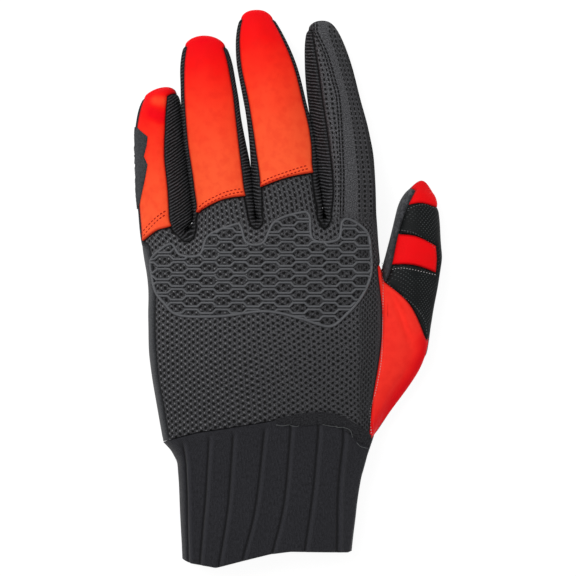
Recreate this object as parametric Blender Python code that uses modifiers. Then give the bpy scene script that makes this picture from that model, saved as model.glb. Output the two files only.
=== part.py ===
"""A left-hand motorcycle glove, lying palm down: X across the hand to the thumb, Y to the fingertips, Z up.

One skin of coarse quads is worked out from tables of cross rows, rounded by Subdivision Surface, and split
along its seams: each panel is the patch of skin between its seams, given its wall and closed at its rim.
The ribbed cuff hangs on the skin's wrist edge, and the knuckle guard is a pierced plate laid on the skin.
"""

import math

import bmesh
import bpy
import numpy as np
from mathutils import Vector
from mathutils.bvhtree import BVHTree

# Sizes in metres.
HAND_WIDTH = 0.1020
HAND_LENGTH = 0.0945
HAND_HEIGHT = 0.0300
LITTLE_LENGTH, LITTLE_WIDTH = 0.0579, 0.0216
RING_LENGTH, RING_WIDTH = 0.0799, 0.0242
MIDDLE_LENGTH, MIDDLE_WIDTH = 0.0913, 0.0250
INDEX_LENGTH, INDEX_WIDTH = 0.0872, 0.0237
FINGER_DEPTH = HAND_HEIGHT * 0.633
THUMB_REACH, THUMB_WIDTH = 0.1122, 0.0216
THUMB_DEPTH = HAND_HEIGHT * 0.667
CUFF_LENGTH = 0.0540
CUFF_RIB = 0.0009
CUFF_RIB_PITCH = 0.0116
PALM_WALL = 0.0015
BACK_WALL = 0.0014
STRETCH_WALL = 0.0012
CUFF_WALL = 0.0025
SEAM_GAP = 0.0003
WEB_SEAM = 0.0024
WEB_MIDDLE = 0.0012
GUARD_SEAT = 0.00050
GUARD_HEIGHT = 0.0013
GUARD_BORDER = 0.0012
GUARD_RIB = 0.0009
CELL_PITCH = 0.00656
CELL_ROW = 0.00289
CELL_SWING = 0.00080
CELL_RAMP = 0.0016
GUARD_LEAN = 0.06
GUARD_CELL = (-0.0010, -0.0110)

# Cross rows of the hand, from the wrist to the crotches of the fingers.
# down: share of HAND_LENGTH from the crotch line; left, right: shares of HAND_WIDTH from the middle;
# bow: how far the row's highest point leads, and web: how far it follows the crotches, of HAND_LENGTH;
# top: share of HAND_HEIGHT.
HAND_ROWS = (
    # name, down, left, right, bow, web, top
    ("wrist", 1.00, -0.407, 0.470, 0.132, 0.00, 0.84),
    ("heel", 0.79, -0.441, 0.487, 0.085, 0.00, 0.90),
    ("back", 0.58, -0.466, 0.517, 0.040, 0.10, 0.96),
    ("guard", 0.37, -0.470, 0.521, 0.010, 0.35, 1.00),
    ("knuckle", 0.20, -0.471, 0.511, 0.000, 0.70, 1.00),
    ("crotch", 0.00, -0.494, 0.500, 0.000, 1.00, 0.90),
)

# The bow of those rows: share across from the middle, and share of the row's bow.
BOW_LINE = (
    # across, lead
    (-0.500, 0.00),
    (-0.350, 0.31),
    (-0.147, 0.53),
    (-0.010, 0.69),
    (0.157, 0.93),
    (0.258, 1.00),
    (0.331, 0.93),
    (0.403, 0.69),
    (0.476, 0.40),
    (0.500, 0.17),
)

# Lines between the fingers, from the little finger's outer edge to the index finger's.
# across: share of the row's width from its middle; drop: share of HAND_LENGTH that the crotch sits lower.
FINGER_LINES = (
    # across, drop
    (-0.500, 0.120),
    (-0.305, 0.073),
    (-0.013, 0.005),
    (0.275, -0.005),
    (0.500, 0.000),
)

# Cross rows of each finger. Along: shares of its length from the crotch line at the row's two ends;
# across: shares of its width from its own line; the seams: shares of the row's half width from its middle;
# bow: how far the row's middle leads, of its width.
FINGER_TABLES = {
    "little": (
        # left along, left across, right along, right across, left seam, right seam, bow
        (-0.142, -0.445, 0.060, 0.560, -0.96, 0.12, 0.07),
        (0.142, -0.535, 0.254, 0.505, -0.94, 0.17, 0.02),
        (0.425, -0.560, 0.515, 0.445, -0.66, 0.13, 0.00),
        (0.709, -0.560, 0.754, 0.385, -0.82, 0.27, 0.00),
        (0.930, -0.390, 0.965, 0.290, -0.90, 0.50, 0.00),
    ),
    "ring": (
        (0.043, -0.455, 0.162, 0.595, -0.83, 0.70, 0.08),
        (0.308, -0.470, 0.346, 0.585, -0.90, 0.72, 0.02),
        (0.546, -0.505, 0.562, 0.520, -0.90, 0.83, 0.00),
        (0.768, -0.510, 0.768, 0.470, -0.88, 0.85, 0.00),
        (0.955, -0.400, 0.950, 0.365, -0.86, 0.86, 0.00),
    ),
    "middle": (
        (0.156, -0.525, 0.246, 0.590, -0.74, 0.80, 0.04),
        (0.388, -0.480, 0.397, 0.585, -0.84, 0.93, 0.01),
        (0.600, -0.480, 0.605, 0.560, -0.86, 0.94, 0.00),
        (0.785, -0.498, 0.794, 0.472, -0.88, 0.94, 0.00),
        (0.965, -0.338, 0.965, 0.257, -0.89, 0.93, 0.00),
    ),
    "index": (
        (0.183, -0.462, 0.198, 0.542, -0.48, 0.86, 0.00),
        (0.406, -0.450, 0.416, 0.562, -0.47, 0.84, 0.00),
        (0.629, -0.472, 0.634, 0.471, -0.45, 0.84, 0.00),
        (0.797, -0.438, 0.807, 0.395, -0.48, 0.84, 0.00),
        (0.955, -0.313, 0.955, 0.233, -0.70, 0.82, 0.00),
    ),
}

# Each finger: its sizes, and where its own line starts across the hand and how far it leans, of its length.
FINGERS = (
    # name, length, width, root (of HAND_WIDTH), lean
    ("little", LITTLE_LENGTH, LITTLE_WIDTH, -0.402, -0.008),
    ("ring", RING_LENGTH, RING_WIDTH, -0.159, -0.089),
    ("middle", MIDDLE_LENGTH, MIDDLE_WIDTH, 0.131, -0.151),
    ("index", INDEX_LENGTH, INDEX_WIDTH, 0.388, -0.136),
)

# Heights along every finger, shares of FINGER_DEPTH, one for each of its rows and the last for its tip.
FINGER_HEIGHTS = (
    # centre, half depth
    (0.80, 0.50),
    (0.71, 0.48),
    (0.59, 0.45),
    (0.47, 0.41),
    (0.375, 0.31),
    (0.36, 0.00),
)

# The thumb's rows inside the hand: shares of THUMB_WIDTH and THUMB_REACH from its line and the wrist row,
# and heights as shares of THUMB_DEPTH.
THUMB_ROOT_ROWS = (
    # name, left seam x, y, right seam x, y, outline x, y, left z, middle z, right z, outline z, bow
    ("wrist", -0.87, 0.019, -0.84, 0.020, -0.82, 0.022, 0.80, 0.68, 0.55, 0.42, 0.00),
    ("heel", -0.76, 0.142, -0.44, 0.150, -0.32, 0.158, 0.89, 0.78, 0.60, 0.42, 0.00),
    ("back", -0.60, 0.342, -0.02, 0.269, 0.06, 0.265, 1.00, 0.90, 0.68, 0.44, 0.00),
    ("guard", -0.58, 0.523, 0.13, 0.327, 0.19, 0.331, 1.02, 0.98, 0.76, 0.48, 0.04),
    ("knuckle", -0.61, 0.615, 0.21, 0.396, 0.28, 0.402, 0.98, 1.02, 0.80, 0.50, 0.15),
)

# The thumb's free rows, laid out as the fingers' rows are, from the thumb's line and the wrist row.
THUMB_ROWS = (
    # left along, left across, right along, right across, left seam, right seam, bow, centre, half depth
    (0.688, -0.65, 0.650, 0.50, -0.70, 0.89, 0.06, 0.53, 0.49),
    (0.808, -0.48, 0.745, 0.535, -0.76, 0.78, 0.07, 0.50, 0.47),
    (0.915, -0.324, 0.904, 0.46, -0.54, 0.87, 0.06, 0.45, 0.39),
    (0.975, -0.07, 0.963, 0.30, -0.70, 0.84, 0.00, 0.41, 0.27),
)
THUMB_TIP = (0.136, 1.0, 0.40)
THUMB_LINE = 0.661

# The guard's outline round the knuckles: shares of HAND_WIDTH from the middle and of HAND_LENGTH downward.
GUARD_OUTLINE = (
    # across, down
    (-0.449, 0.164),
    (-0.373, 0.100),
    (-0.331, 0.151),
    (-0.250, 0.151),
    (-0.212, 0.064),
    (-0.102, 0.014),
    (-0.076, 0.023),
    (-0.051, 0.096),
    (0.017, 0.096),
    (0.068, 0.000),
    (0.174, -0.038),
    (0.212, -0.024),
    (0.229, 0.082),
    (0.331, 0.082),
    (0.352, 0.004),
    (0.386, -0.006),
    (0.447, 0.046),
    (0.464, 0.128),
    (0.464, 0.242),
    (0.428, 0.347),
    (0.343, 0.447),
    (0.301, 0.475),
    (0.250, 0.466),
    (0.174, 0.438),
    (0.060, 0.407),
    (-0.123, 0.429),
    (-0.310, 0.431),
    (-0.398, 0.370),
    (-0.432, 0.320),
    (-0.449, 0.242),
)

# Rings of the cuff, from the wrist edge to the mouth: shares of CUFF_LENGTH, HAND_WIDTH and wrist height.
CUFF_ROWS = (
    # down, left, right, height, ribs
    (0.00, -0.407, 0.487, 1.00, 0.00),
    (0.17, -0.346, 0.460, 0.94, 1.00),
    (0.60, -0.336, 0.416, 0.88, 1.00),
    (1.00, -0.327, 0.392, 0.88, 1.00),
)

# The mouth's edge: share across the cuff, and how far it hangs below the wrist row's ends, of CUFF_LENGTH.
CUFF_MOUTH = (
    # across, down
    (0.00, 0.94),
    (0.03, 0.96),
    (0.20, 1.00),
    (0.37, 0.94),
    (0.52, 0.89),
    (0.64, 0.87),
    (1.00, 0.88),
)

SECTION_POWER = 2.4
HAND_POWER = 2.5
HAND_SIDE_HEIGHT = 0.42
HAND_REACH = 0.92
PALM_SEAM = 0.62
SIDE_WRAP = 0.028
PALM_EDGE = 0.030
INDEX_INSET = 0.035
WEB_LEAD = 0.025
WEB_HEIGHT = 0.50
PALM_WEB_LEAD = 0.020
PALM_WEB_LIFT = 0.040
THUMB_BOW_WAY = (0.8, 0.6)
THUMB_WEB_WAY = (0.6, 0.8, 0.0)
THUMB_WEB_DROP = 0.45
THUMB_PALM_INSET = 0.12
OUTLINE_EASE = 0.15
OUTLINE_FROM = 0.6
SKIN_LEVELS = 1
FIT_ROUNDS = 6
CUFF_RIB_STEPS = 4
GUARD_STEPS = 2
CURVE_TENSION = 0.7
MITRE_LIMIT = 0.3
WELD = 0.00005

COLUMNS = ("a", "m", "b", "r", "bp", "mp", "ap", "l")
GROUPS = [finger[0] for finger in FINGERS] + ["thumb"]
ROOT_ROWS = [row[0] for row in HAND_ROWS]
CROTCH = {0: "crotch", 1: "crotch", 2: "crotch", 3: "knuckle"}
FREE_ROWS = {"little": 5, "ring": 5, "middle": 5, "index": 5, "thumb": 4}

PANELS = (
    # name, wall, colour, roughness
    ("palm", PALM_WALL, (0.045, 0.047, 0.050), 0.85),
    ("back_panel", BACK_WALL, (0.050, 0.050, 0.056), 0.80),
    ("finger_back_little", STRETCH_WALL, (0.80, 0.030, 0.015), 0.65),
    ("finger_back_ring", STRETCH_WALL, (0.80, 0.030, 0.015), 0.65),
    ("finger_back_middle", STRETCH_WALL, (0.80, 0.030, 0.015), 0.65),
    ("fourchette_little_ring", STRETCH_WALL, (0.010, 0.010, 0.011), 0.80),
    ("fourchette_ring_middle", STRETCH_WALL, (0.010, 0.010, 0.011), 0.80),
    ("fourchette_middle_index", STRETCH_WALL, (0.010, 0.010, 0.011), 0.80),
    ("thumb_gusset", STRETCH_WALL, (0.82, 0.020, 0.015), 0.65),
    ("thumb_panel", STRETCH_WALL, (0.012, 0.014, 0.014), 0.70),
    ("thumb_band", STRETCH_WALL, (0.80, 0.010, 0.012), 0.65),
    ("thumb_tip", STRETCH_WALL, (0.80, 0.010, 0.012), 0.65),
)
PANEL_NAMES = [panel[0] for panel in PANELS]


def clear_scene():
    for obj in list(bpy.data.objects):
        bpy.data.objects.remove(obj, do_unlink=True)


def new_collection(name):
    collection = bpy.data.collections.new(name)
    bpy.context.scene.collection.children.link(collection)
    return collection


def principled(name, colour, roughness, metallic=0.0):
    material = bpy.data.materials.new(name)
    material.use_nodes = True
    shader = material.node_tree.nodes["Principled BSDF"]
    shader.inputs["Base Color"].default_value = (*colour, 1.0)
    shader.inputs["Roughness"].default_value = roughness
    shader.inputs["Metallic"].default_value = metallic
    return material


def add_mesh(name, vertices, faces, collection, material=None):
    mesh = bpy.data.meshes.new(name)
    mesh.from_pydata([tuple(v) for v in vertices], [], [tuple(f) for f in faces])
    mesh.update()
    if material is not None:
        mesh.materials.append(material)
    obj = bpy.data.objects.new(name, mesh)
    collection.objects.link(obj)
    return obj


def as_guide(obj):
    obj.hide_render = True
    obj.display_type = "WIRE"


def arch(share, power):
    """Height of a superellipse, from 1 at its middle to 0 at share -1 or 1."""
    return (1.0 - min(abs(share), 1.0) ** power) ** (1.0 / power)


def lerp(start, end, share):
    return start + (end - start) * share


def hand_point(row, across):
    """A point of the hand's back on a cross row, at a share of the row's width from its middle."""
    name, down, left, right, bow, web, top = row
    share = across + 0.5
    x = lerp(left, right, share) * HAND_WIDTH
    lines = np.array(FINGER_LINES)
    drop = np.interp(across, lines[:, 0], lines[:, 1])
    lead = np.interp(across, *np.array(BOW_LINE).T)
    y = (bow * lead - down - web * drop) * HAND_LENGTH
    side = HAND_SIDE_HEIGHT * top * HAND_HEIGHT
    z = side + (top * HAND_HEIGHT - side) * arch(2.0 * across * HAND_REACH, HAND_POWER)
    return np.array((x, y, z))


def hand_targets(points):
    """The hand's rows: back, palm and outer side, for the four groups of finger columns."""
    for row in HAND_ROWS:
        name, top = row[0], row[6]
        for group in range(len(FINGERS)):
            start, end = FINGER_LINES[group][0], FINGER_LINES[group + 1][0]
            seam = WEB_SEAM / HAND_WIDTH
            first = start + (SIDE_WRAP if group == 0 else seam)
            last = end - (0.0 if group == len(FINGERS) - 1 else seam)
            for column, across in (("a", first), ("m", (first + last) / 2), ("b", last)):
                point = hand_point(row, across)
                points[group, name, column] = point
                palm = point.copy()
                palm[2] = 0.0
                if column == "a" and group == 0:
                    palm[0] += (PALM_EDGE - SIDE_WRAP) * HAND_WIDTH
                if column == "b" and group == 3:
                    palm[0] -= PALM_EDGE * HAND_WIDTH
                points[group, name, column + "p"] = palm
        edge = hand_point(row, FINGER_LINES[0][0])
        edge[2] = HAND_SIDE_HEIGHT * top * HAND_HEIGHT
        points[0, name, "l"] = edge
    for row in HAND_ROWS[-2:]:
        edge = hand_point(row, FINGER_LINES[-1][0])
        edge[2] = HAND_SIDE_HEIGHT * row[6] * HAND_HEIGHT
        points[3, row[0], "r"] = edge
        points[3, row[0], "b"][0] -= INDEX_INSET * HAND_WIDTH


def web_targets(points):
    """The webs between the fingers: their middles lead a little and stand at half height."""
    crotch = HAND_ROWS[-1]
    for group in range(len(FINGERS) - 1):
        middle = hand_point(crotch, FINGER_LINES[group + 1][0])
        middle[1] += WEB_LEAD * HAND_LENGTH
        middle[2] = WEB_HEIGHT * crotch[6] * HAND_HEIGHT
        points[group, "crotch", "r"] = middle - (WEB_MIDDLE, 0, 0)
        points[group + 1, "crotch", "l"] = middle + (WEB_MIDDLE, 0, 0)
    for group in range(len(FINGERS)):
        for column in ("ap", "mp", "bp"):
            points[group, "crotch", column][1] += PALM_WEB_LEAD * HAND_LENGTH
            points[group, "crotch", column][2] = PALM_WEB_LIFT * HAND_HEIGHT


def ring_targets(points, group, row, left, right, seams, bow, centre, half):
    """A finger's closed row: a superellipse between its two outline points, with its seams on it."""
    middle, reach = (left + right) / 2, (right - left) / 2
    centre_share = (seams[0] + seams[1]) / 2
    outline = [1.0 - OUTLINE_EASE * max(abs(seam) - OUTLINE_FROM, 0.0) for seam in seams]
    for column, share, side, lead in (
        ("a", seams[0], 1, 0.0),
        ("m", centre_share, 1, bow),
        ("b", seams[1], 1, 0.0),
        ("r", outline[1], 0, 0.0),
        ("bp", PALM_SEAM, -1, 0.0),
        ("mp", 0.0, -1, 0.0),
        ("ap", -PALM_SEAM, -1, 0.0),
        ("l", -outline[0], 0, 0.0),
    ):
        x, y = middle + reach * share
        z = centre + side * half * arch(share, SECTION_POWER)
        points[group, row, column] = np.array((x, y + lead, max(z, 0.0)))


def finger_targets(points):
    for group, (name, length, width, root, lean) in enumerate(FINGERS):
        line = np.array((root * HAND_WIDTH, 0.0))
        way = np.array((lean, 1.0)) * length
        side = np.array((width, 0.0))
        for row, (cut, height) in enumerate(zip(FINGER_TABLES[name], FINGER_HEIGHTS)):
            left = line + way * cut[0] + side * cut[1]
            right = line + way * cut[2] + side * cut[3]
            centre, half = np.array(height) * FINGER_DEPTH
            ring_targets(points, group, row, left, right, cut[4:6], cut[6] * width, centre, half)
        tip = line + way
        points[group, "tip", "c"] = np.array((*tip, FINGER_HEIGHTS[-1][0] * FINGER_DEPTH))


def thumb_targets(points):
    group = len(FINGERS)
    line = np.array((THUMB_LINE * HAND_WIDTH, -HAND_LENGTH))
    size = np.array((THUMB_WIDTH, THUMB_REACH))
    for name, ax, ay, bx, by, rx, ry, za, zm, zb, zr, bow in THUMB_ROOT_ROWS:
        first, last, edge = (line + size * (x, y) for x, y in ((ax, ay), (bx, by), (rx, ry)))
        middle = (first + last) / 2 + bow * THUMB_WIDTH * np.array(THUMB_BOW_WAY)
        for column, place, z in (("a", first, za), ("m", middle, zm), ("b", last, zb), ("r", edge, zr)):
            points[group, name, column] = np.array((*place, z * THUMB_DEPTH))
        inset = np.array((THUMB_PALM_INSET * THUMB_WIDTH, 0.0))
        for column, place in (("ap", first - inset), ("mp", (first + last - inset) / 2), ("bp", last)):
            points[group, name, column] = np.array((*place, 0.0))
    crotch = points[group, "knuckle", "a"].copy()
    hand = points[3, "knuckle", "r"].copy()
    web = crotch + (hand - crotch) * THUMB_WEB_WAY
    points[group, "knuckle", "l"] = web - (0.0, 0.0, THUMB_WEB_DROP * THUMB_DEPTH)
    for row, cut in enumerate(THUMB_ROWS):
        left = line + size * (cut[1], cut[0])
        right = line + size * (cut[3], cut[2])
        centre, half = cut[7] * THUMB_DEPTH, cut[8] * THUMB_DEPTH
        ring_targets(points, group, row, left, right, cut[4:6], cut[6] * THUMB_WIDTH, centre, half)
    x, y, z = THUMB_TIP
    points[group, "tip", "c"] = np.array((*(line + size * (x, y)), z * THUMB_DEPTH))


def rows_of(group):
    """Row names of a group of columns, from the wrist to its last closed row."""
    roots = ROOT_ROWS if group < len(FINGERS) else ROOT_ROWS[:-1]
    return roots + list(range(FREE_ROWS[GROUPS[group]]))


def panel_at(group, row, column):
    """Name of the panel that a skin face belongs to, from its group, its lower row and its first column."""
    name = GROUPS[group]
    on_root = row in ROOT_ROWS and row != CROTCH.get(min(group, 3))
    if column in ("a", "m"):
        if name == "thumb":
            if on_root:
                return "thumb_gusset"
            return {"knuckle": "thumb_panel", 0: "thumb_band", 1: "thumb_panel"}.get(row, "thumb_tip")
        if name == "index" or row in ROOT_ROWS:
            return "back_panel"
        return "finger_back_" + name
    if column == "b":
        if name == "thumb":
            return "thumb_gusset" if on_root else ("thumb_panel" if row in ("knuckle", 0, 1) else "thumb_tip")
        return "back_panel" if name == "index" else fourchette(group)
    if column == "r":
        return "palm" if group >= 3 else fourchette(group)
    if column in ("ap", "l") and 0 < group < len(FINGERS):
        return fourchette(group - 1)
    return "palm"


def fourchette(group):
    return "fourchette_%s_%s" % (GROUPS[group], GROUPS[group + 1])


def skin_faces():
    """The skin's quads as keys of their corners, each with its panel: strips, valleys, webs and tips."""
    quads = []
    last_group = len(GROUPS) - 1
    for group, name in enumerate(GROUPS):
        rows = rows_of(group)
        right_from = 0 if group == last_group else rows.index(CROTCH[group])
        left_from = 0 if group == 0 else rows.index(CROTCH[group - 1])
        for place, (row, above) in enumerate(zip(rows, rows[1:])):
            for start, column in enumerate(COLUMNS):
                end = COLUMNS[(start + 1) % len(COLUMNS)]
                inside_right = column in ("b", "r") and place < right_from
                inside_left = column in ("ap", "l") and place < left_from
                if inside_right or inside_left:
                    continue
                lower = [(group, row, column), (group, row, end)]
                upper = [(group, above, end), (group, above, column)]
                quads.append((lower + upper, panel_at(group, row, column)))
        top = rows[-1]
        tip = (group, "tip", "c")
        back = panel_at(group, rows[-2], "a")
        for start, panel in (("l", back), ("m", back), ("r", "palm"), ("mp", "palm")):
            place = COLUMNS.index(start)
            keys = [(group, top, COLUMNS[(place + step) % len(COLUMNS)]) for step in range(3)]
            quads.append((keys + [tip], panel))
    for group in range(last_group):
        rows = rows_of(group)
        crotch = CROTCH[group]
        for row, above in zip(rows, rows[1:]):
            if row == crotch:
                break
            valley = "thumb_gusset" if group == 3 else "back_panel"
            near, far = (group, row), (group + 1, row)
            near_above, far_above = (group, above), (group + 1, above)
            quads.append(([near + ("b",), far + ("a",), far_above + ("a",), near_above + ("b",)], valley))
            quads.append(([far + ("ap",), near + ("bp",), near_above + ("bp",), far_above + ("ap",)], "palm"))
        near, far = (group, crotch), (group + 1, crotch)
        upper = [near + ("b",), far + ("a",), far + ("l",), near + ("r",)]
        lower = [near + ("r",), far + ("l",), far + ("ap",), near + ("bp",)]
        quads.append((upper, "thumb_gusset" if group == 3 else fourchette(group)))
        quads.append((lower, "palm" if group == 3 else fourchette(group)))
    return quads


def evaluated_mesh(obj):
    """A copy of the object's mesh with its modifiers worked out."""
    bpy.context.view_layer.update()
    depsgraph = bpy.context.evaluated_depsgraph_get()
    return bpy.data.meshes.new_from_object(obj.evaluated_get(depsgraph))


def mesh_points(mesh, field="co", items=None):
    items = mesh.vertices if items is None else items
    values = np.empty(len(items) * 3)
    items.foreach_get(field, values)
    return values.reshape(-1, 3)


def build_skin(collection):
    """The whole skin, rounded, its cage moved until the round surface passes through the tables' points."""
    points = {}
    hand_targets(points)
    web_targets(points)
    finger_targets(points)
    thumb_targets(points)
    quads = skin_faces()
    keys = sorted({key for corners, _ in quads for key in corners}, key=str)
    index = {key: place for place, key in enumerate(keys)}
    target = np.array([points[key] for key in keys])
    faces = [[index[key] for key in corners] for corners, _ in quads]
    skin = add_mesh("skin_guide", target, faces, collection)
    numbers = [PANEL_NAMES.index(panel) for _, panel in quads]
    skin.data.polygons.foreach_set("material_index", numbers)
    for panel in PANELS:
        skin.data.materials.append(bpy.data.materials.get(panel[0]))
    rounding = skin.modifiers.new("rounding", "SUBSURF")
    rounding.levels = rounding.render_levels = SKIN_LEVELS
    cage = target.copy()
    for _ in range(FIT_ROUNDS):
        mesh = evaluated_mesh(skin)
        cage += target - mesh_points(mesh)[: len(keys)]
        bpy.data.meshes.remove(mesh)
        skin.data.vertices.foreach_set("co", cage.ravel())
        skin.data.update()
    as_guide(skin)
    return skin


def skin_surface(skin):
    """The rounded skin as arrays: points above the floor, normals square to the wrist, faces and panels."""
    mesh = evaluated_mesh(skin)
    points = mesh_points(mesh)
    points[:, 2] = np.maximum(points[:, 2], 0.0)
    mesh.vertices.foreach_set("co", points.ravel())
    mesh.update()
    normals = mesh_points(mesh, "vector", mesh.vertex_normals)
    faces = [tuple(face.vertices) for face in mesh.polygons]
    panels = [face.material_index for face in mesh.polygons]
    bpy.data.meshes.remove(mesh)
    wrist = sorted({corner for edge in border_edges(faces) for corner in edge})
    normals[wrist, 1] = 0.0
    normals[wrist] /= np.linalg.norm(normals[wrist], axis=1)[:, None]
    return points, normals, faces, panels


def border_edges(faces):
    """Edges that only one face of a patch uses, in that face's direction, each with the face."""
    used = {}
    for face in faces:
        for start, end in zip(face, face[1:] + face[:1]):
            used[start, end] = face
    return {edge: face for edge, face in used.items() if (edge[1], edge[0]) not in used}


def seam_shifts(points, borders, reach):
    """How far each border point moves into its patch, so that the border stands reach away from its seam."""
    inward = {}
    for (start, end), face in borders.items():
        along = points[end] - points[start]
        along /= np.linalg.norm(along)
        centre = points[list(face)].mean(axis=0) - points[start]
        inside = centre - along * centre.dot(along)
        inside /= np.linalg.norm(inside)
        inward.setdefault(start, []).append(inside)
        inward.setdefault(end, []).append(inside)
    shifts = {}
    for point, (first, second) in inward.items():
        shifts[point] = (first + second) * reach / max(1.0 + first.dot(second), MITRE_LIMIT)
    return shifts


def build_panel(name, wall, surface, collection, material):
    """One panel: its patch of skin, pulled back from its seams, with the wall inside it and a rim."""
    points, normals, faces, panels = surface
    number = PANEL_NAMES.index(name)
    patch = [face for face, panel in zip(faces, panels) if panel == number]
    borders = border_edges(patch)
    shifts = seam_shifts(points, borders, SEAM_GAP / 2)
    used = sorted({corner for face in patch for corner in face})
    place = {corner: number for number, corner in enumerate(used)}
    outer = np.array([points[corner] + shifts.get(corner, 0.0) for corner in used])
    inner = outer - normals[used] * wall
    count = len(used)
    solid = [[place[corner] for corner in face] for face in patch]
    solid += [[place[corner] + count for corner in reversed(face)] for face in patch]
    for start, end in borders:
        first, last = place[start], place[end]
        solid.append([last, first, first + count, last + count])
    return add_mesh(name, np.vstack((outer, inner)), solid, collection, material)


def wrist_loop(surface):
    """The skin's open edge at the wrist, in order round the hand."""
    points, _, faces, _ = surface
    following = {start: end for start, end in border_edges(faces)}
    start = min(following, key=lambda corner: points[corner][0])
    order = [start]
    while following[order[-1]] != start:
        order.append(following[order[-1]])
    return points[order]


def even_loop(loop, count):
    """The same closed loop, cut into equal steps."""
    closed = np.vstack((loop, loop[:1]))
    steps = np.linalg.norm(np.diff(closed, axis=0), axis=1)
    reached = np.concatenate(([0.0], np.cumsum(steps)))
    wanted = np.arange(count) * reached[-1] / count
    return np.column_stack([np.interp(wanted, reached, closed[:, axis]) for axis in range(3)])


def build_cuff(surface, collection, material):
    """The cuff: the wrist loop carried down to the mouth and ribbed, inside and out."""
    edge = wrist_loop(surface)
    perimeter = np.linalg.norm(np.diff(np.vstack((edge, edge[:1])), axis=0), axis=1).sum()
    ribs = round(perimeter / CUFF_RIB_PITCH)
    count = ribs * CUFF_RIB_STEPS
    loop = even_loop(edge, count)
    low, high = loop[:, 0].min(), loop[:, 0].max()
    across = (loop[:, 0] - low) / (high - low)
    mouth = np.array(CUFF_MOUTH)
    hang = -HAND_LENGTH - CUFF_LENGTH * np.interp(across, mouth[:, 0], mouth[:, 1])
    height = loop[:, 2].max()
    outward = loop - np.roll(loop, 1, axis=0)
    outward = outward[:, [2, 1, 0]] * (1, 0, -1)
    outward += np.roll(outward, -1, axis=0)
    outward[:, 1] = 0.0
    outward /= np.linalg.norm(outward, axis=1)[:, None]
    middle = np.array(((low + high) / 2, 0.0, height / 2))
    if ((loop - middle) * outward).sum() < 0:
        outward = -outward
    ripple = (1.0 + np.cos(np.arange(count) * 2 * np.pi / CUFF_RIB_STEPS)) / 2
    rings = []
    for down, left, right, tall, ribbed in CUFF_ROWS:
        x = lerp(left, right, across) * HAND_WIDTH
        y = lerp(loop[:, 1] - SEAM_GAP, hang, down)
        z = loop[:, 2] * tall
        sunk = CUFF_RIB * ribbed * (1.0 - ripple)
        ring = np.column_stack((x, y, z)) - outward * sunk[:, None]
        rings.append(np.maximum(ring, (-1, -1, 0)))
    outer = np.array(rings)
    inner = outer - outward * CUFF_WALL
    inner[:, :, 2] = np.where(outer[:, :, 2] < CUFF_WALL / 2, CUFF_WALL, inner[:, :, 2])
    levels = len(CUFF_ROWS)
    vertices = np.vstack((outer.reshape(-1, 3), inner.reshape(-1, 3)))
    faces = []
    size = levels * count
    for level in range(levels - 1):
        for step in range(count):
            ahead = (step + 1) % count
            first, second = level * count + step, level * count + ahead
            quad = (first, second, second + count, first + count)
            faces.append(quad)
            faces.append(tuple(corner + size for corner in reversed(quad)))
    for level in (0, levels - 1):
        for step in range(count):
            ahead = (step + 1) % count
            first, last = level * count + step, level * count + ahead
            rim = (last, first, first + size, last + size)
            faces.append(rim if level == 0 else tuple(reversed(rim)))
    cuff = add_mesh("cuff", vertices, faces, collection, material)
    point_outward(cuff.data)
    return cuff


def point_outward(mesh):
    work = bmesh.new()
    work.from_mesh(mesh)
    bmesh.ops.recalc_face_normals(work, faces=work.faces)
    if work.calc_volume(signed=True) < 0:
        bmesh.ops.reverse_faces(work, faces=work.faces)
    work.to_mesh(mesh)
    work.free()


def rounded_loop(points, steps):
    """A closed smooth curve through the points, with a few steps between each two."""
    points = np.asarray(points, dtype=float)
    before, after = np.roll(points, 1, axis=0), np.roll(points, -1, axis=0)
    tangent = (after - before) / 2
    shares = np.arange(steps) / steps
    h00 = 2 * shares**3 - 3 * shares**2 + 1
    h10 = shares**3 - 2 * shares**2 + shares
    curve = (
        points[:, None] * h00[:, None]
        + tangent[:, None] * CURVE_TENSION * h10[:, None]
        + after[:, None] * (1 - h00)[:, None]
        + np.roll(tangent, -1, axis=0)[:, None] * CURVE_TENSION * (shares**3 - shares**2)[:, None]
    )
    return curve.reshape(-1, 2)


def inset_loop(loop, reach):
    """The loop moved inward by reach, without the points that come nearer to it than that."""
    step = np.roll(loop, -1, axis=0) - loop
    length = np.linalg.norm(step, axis=1)
    ahead = step / length[:, None]
    behind = np.roll(ahead, 1, axis=0)
    area = (loop[:, 0] * np.roll(loop[:, 1], -1) - loop[:, 1] * np.roll(loop[:, 0], -1)).sum()
    turn = math.copysign(1.0, area)
    normal_a = np.column_stack((-ahead[:, 1], ahead[:, 0])) * turn
    normal_b = np.column_stack((-behind[:, 1], behind[:, 0])) * turn
    share = np.maximum(1.0 + (normal_a * normal_b).sum(axis=1), MITRE_LIMIT)
    moved = loop + (normal_a + normal_b) * reach / share[:, None]
    offset = moved[:, None] - loop
    along = np.clip((offset * ahead).sum(axis=2), 0.0, length)
    distance = np.linalg.norm(offset - along[:, :, None] * ahead, axis=2).min(axis=1)
    return moved[distance > 0.98 * reach]


def prism(name, loops, low, high, collection):
    """Closed upright prisms on flat outlines."""
    work = bmesh.new()
    for loop in loops:
        base = [work.verts.new((x, y, low)) for x, y in loop]
        face = work.faces.new(base)
        grown = bmesh.ops.extrude_face_region(work, geom=[face])
        lifted = [item for item in grown["geom"] if isinstance(item, bmesh.types.BMVert)]
        bmesh.ops.translate(work, verts=lifted, vec=(0, 0, high - low))
    bmesh.ops.recalc_face_normals(work, faces=work.faces)
    mesh = bpy.data.meshes.new(name)
    work.to_mesh(mesh)
    work.free()
    obj = bpy.data.objects.new(name, mesh)
    collection.objects.link(obj)
    return obj


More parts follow.
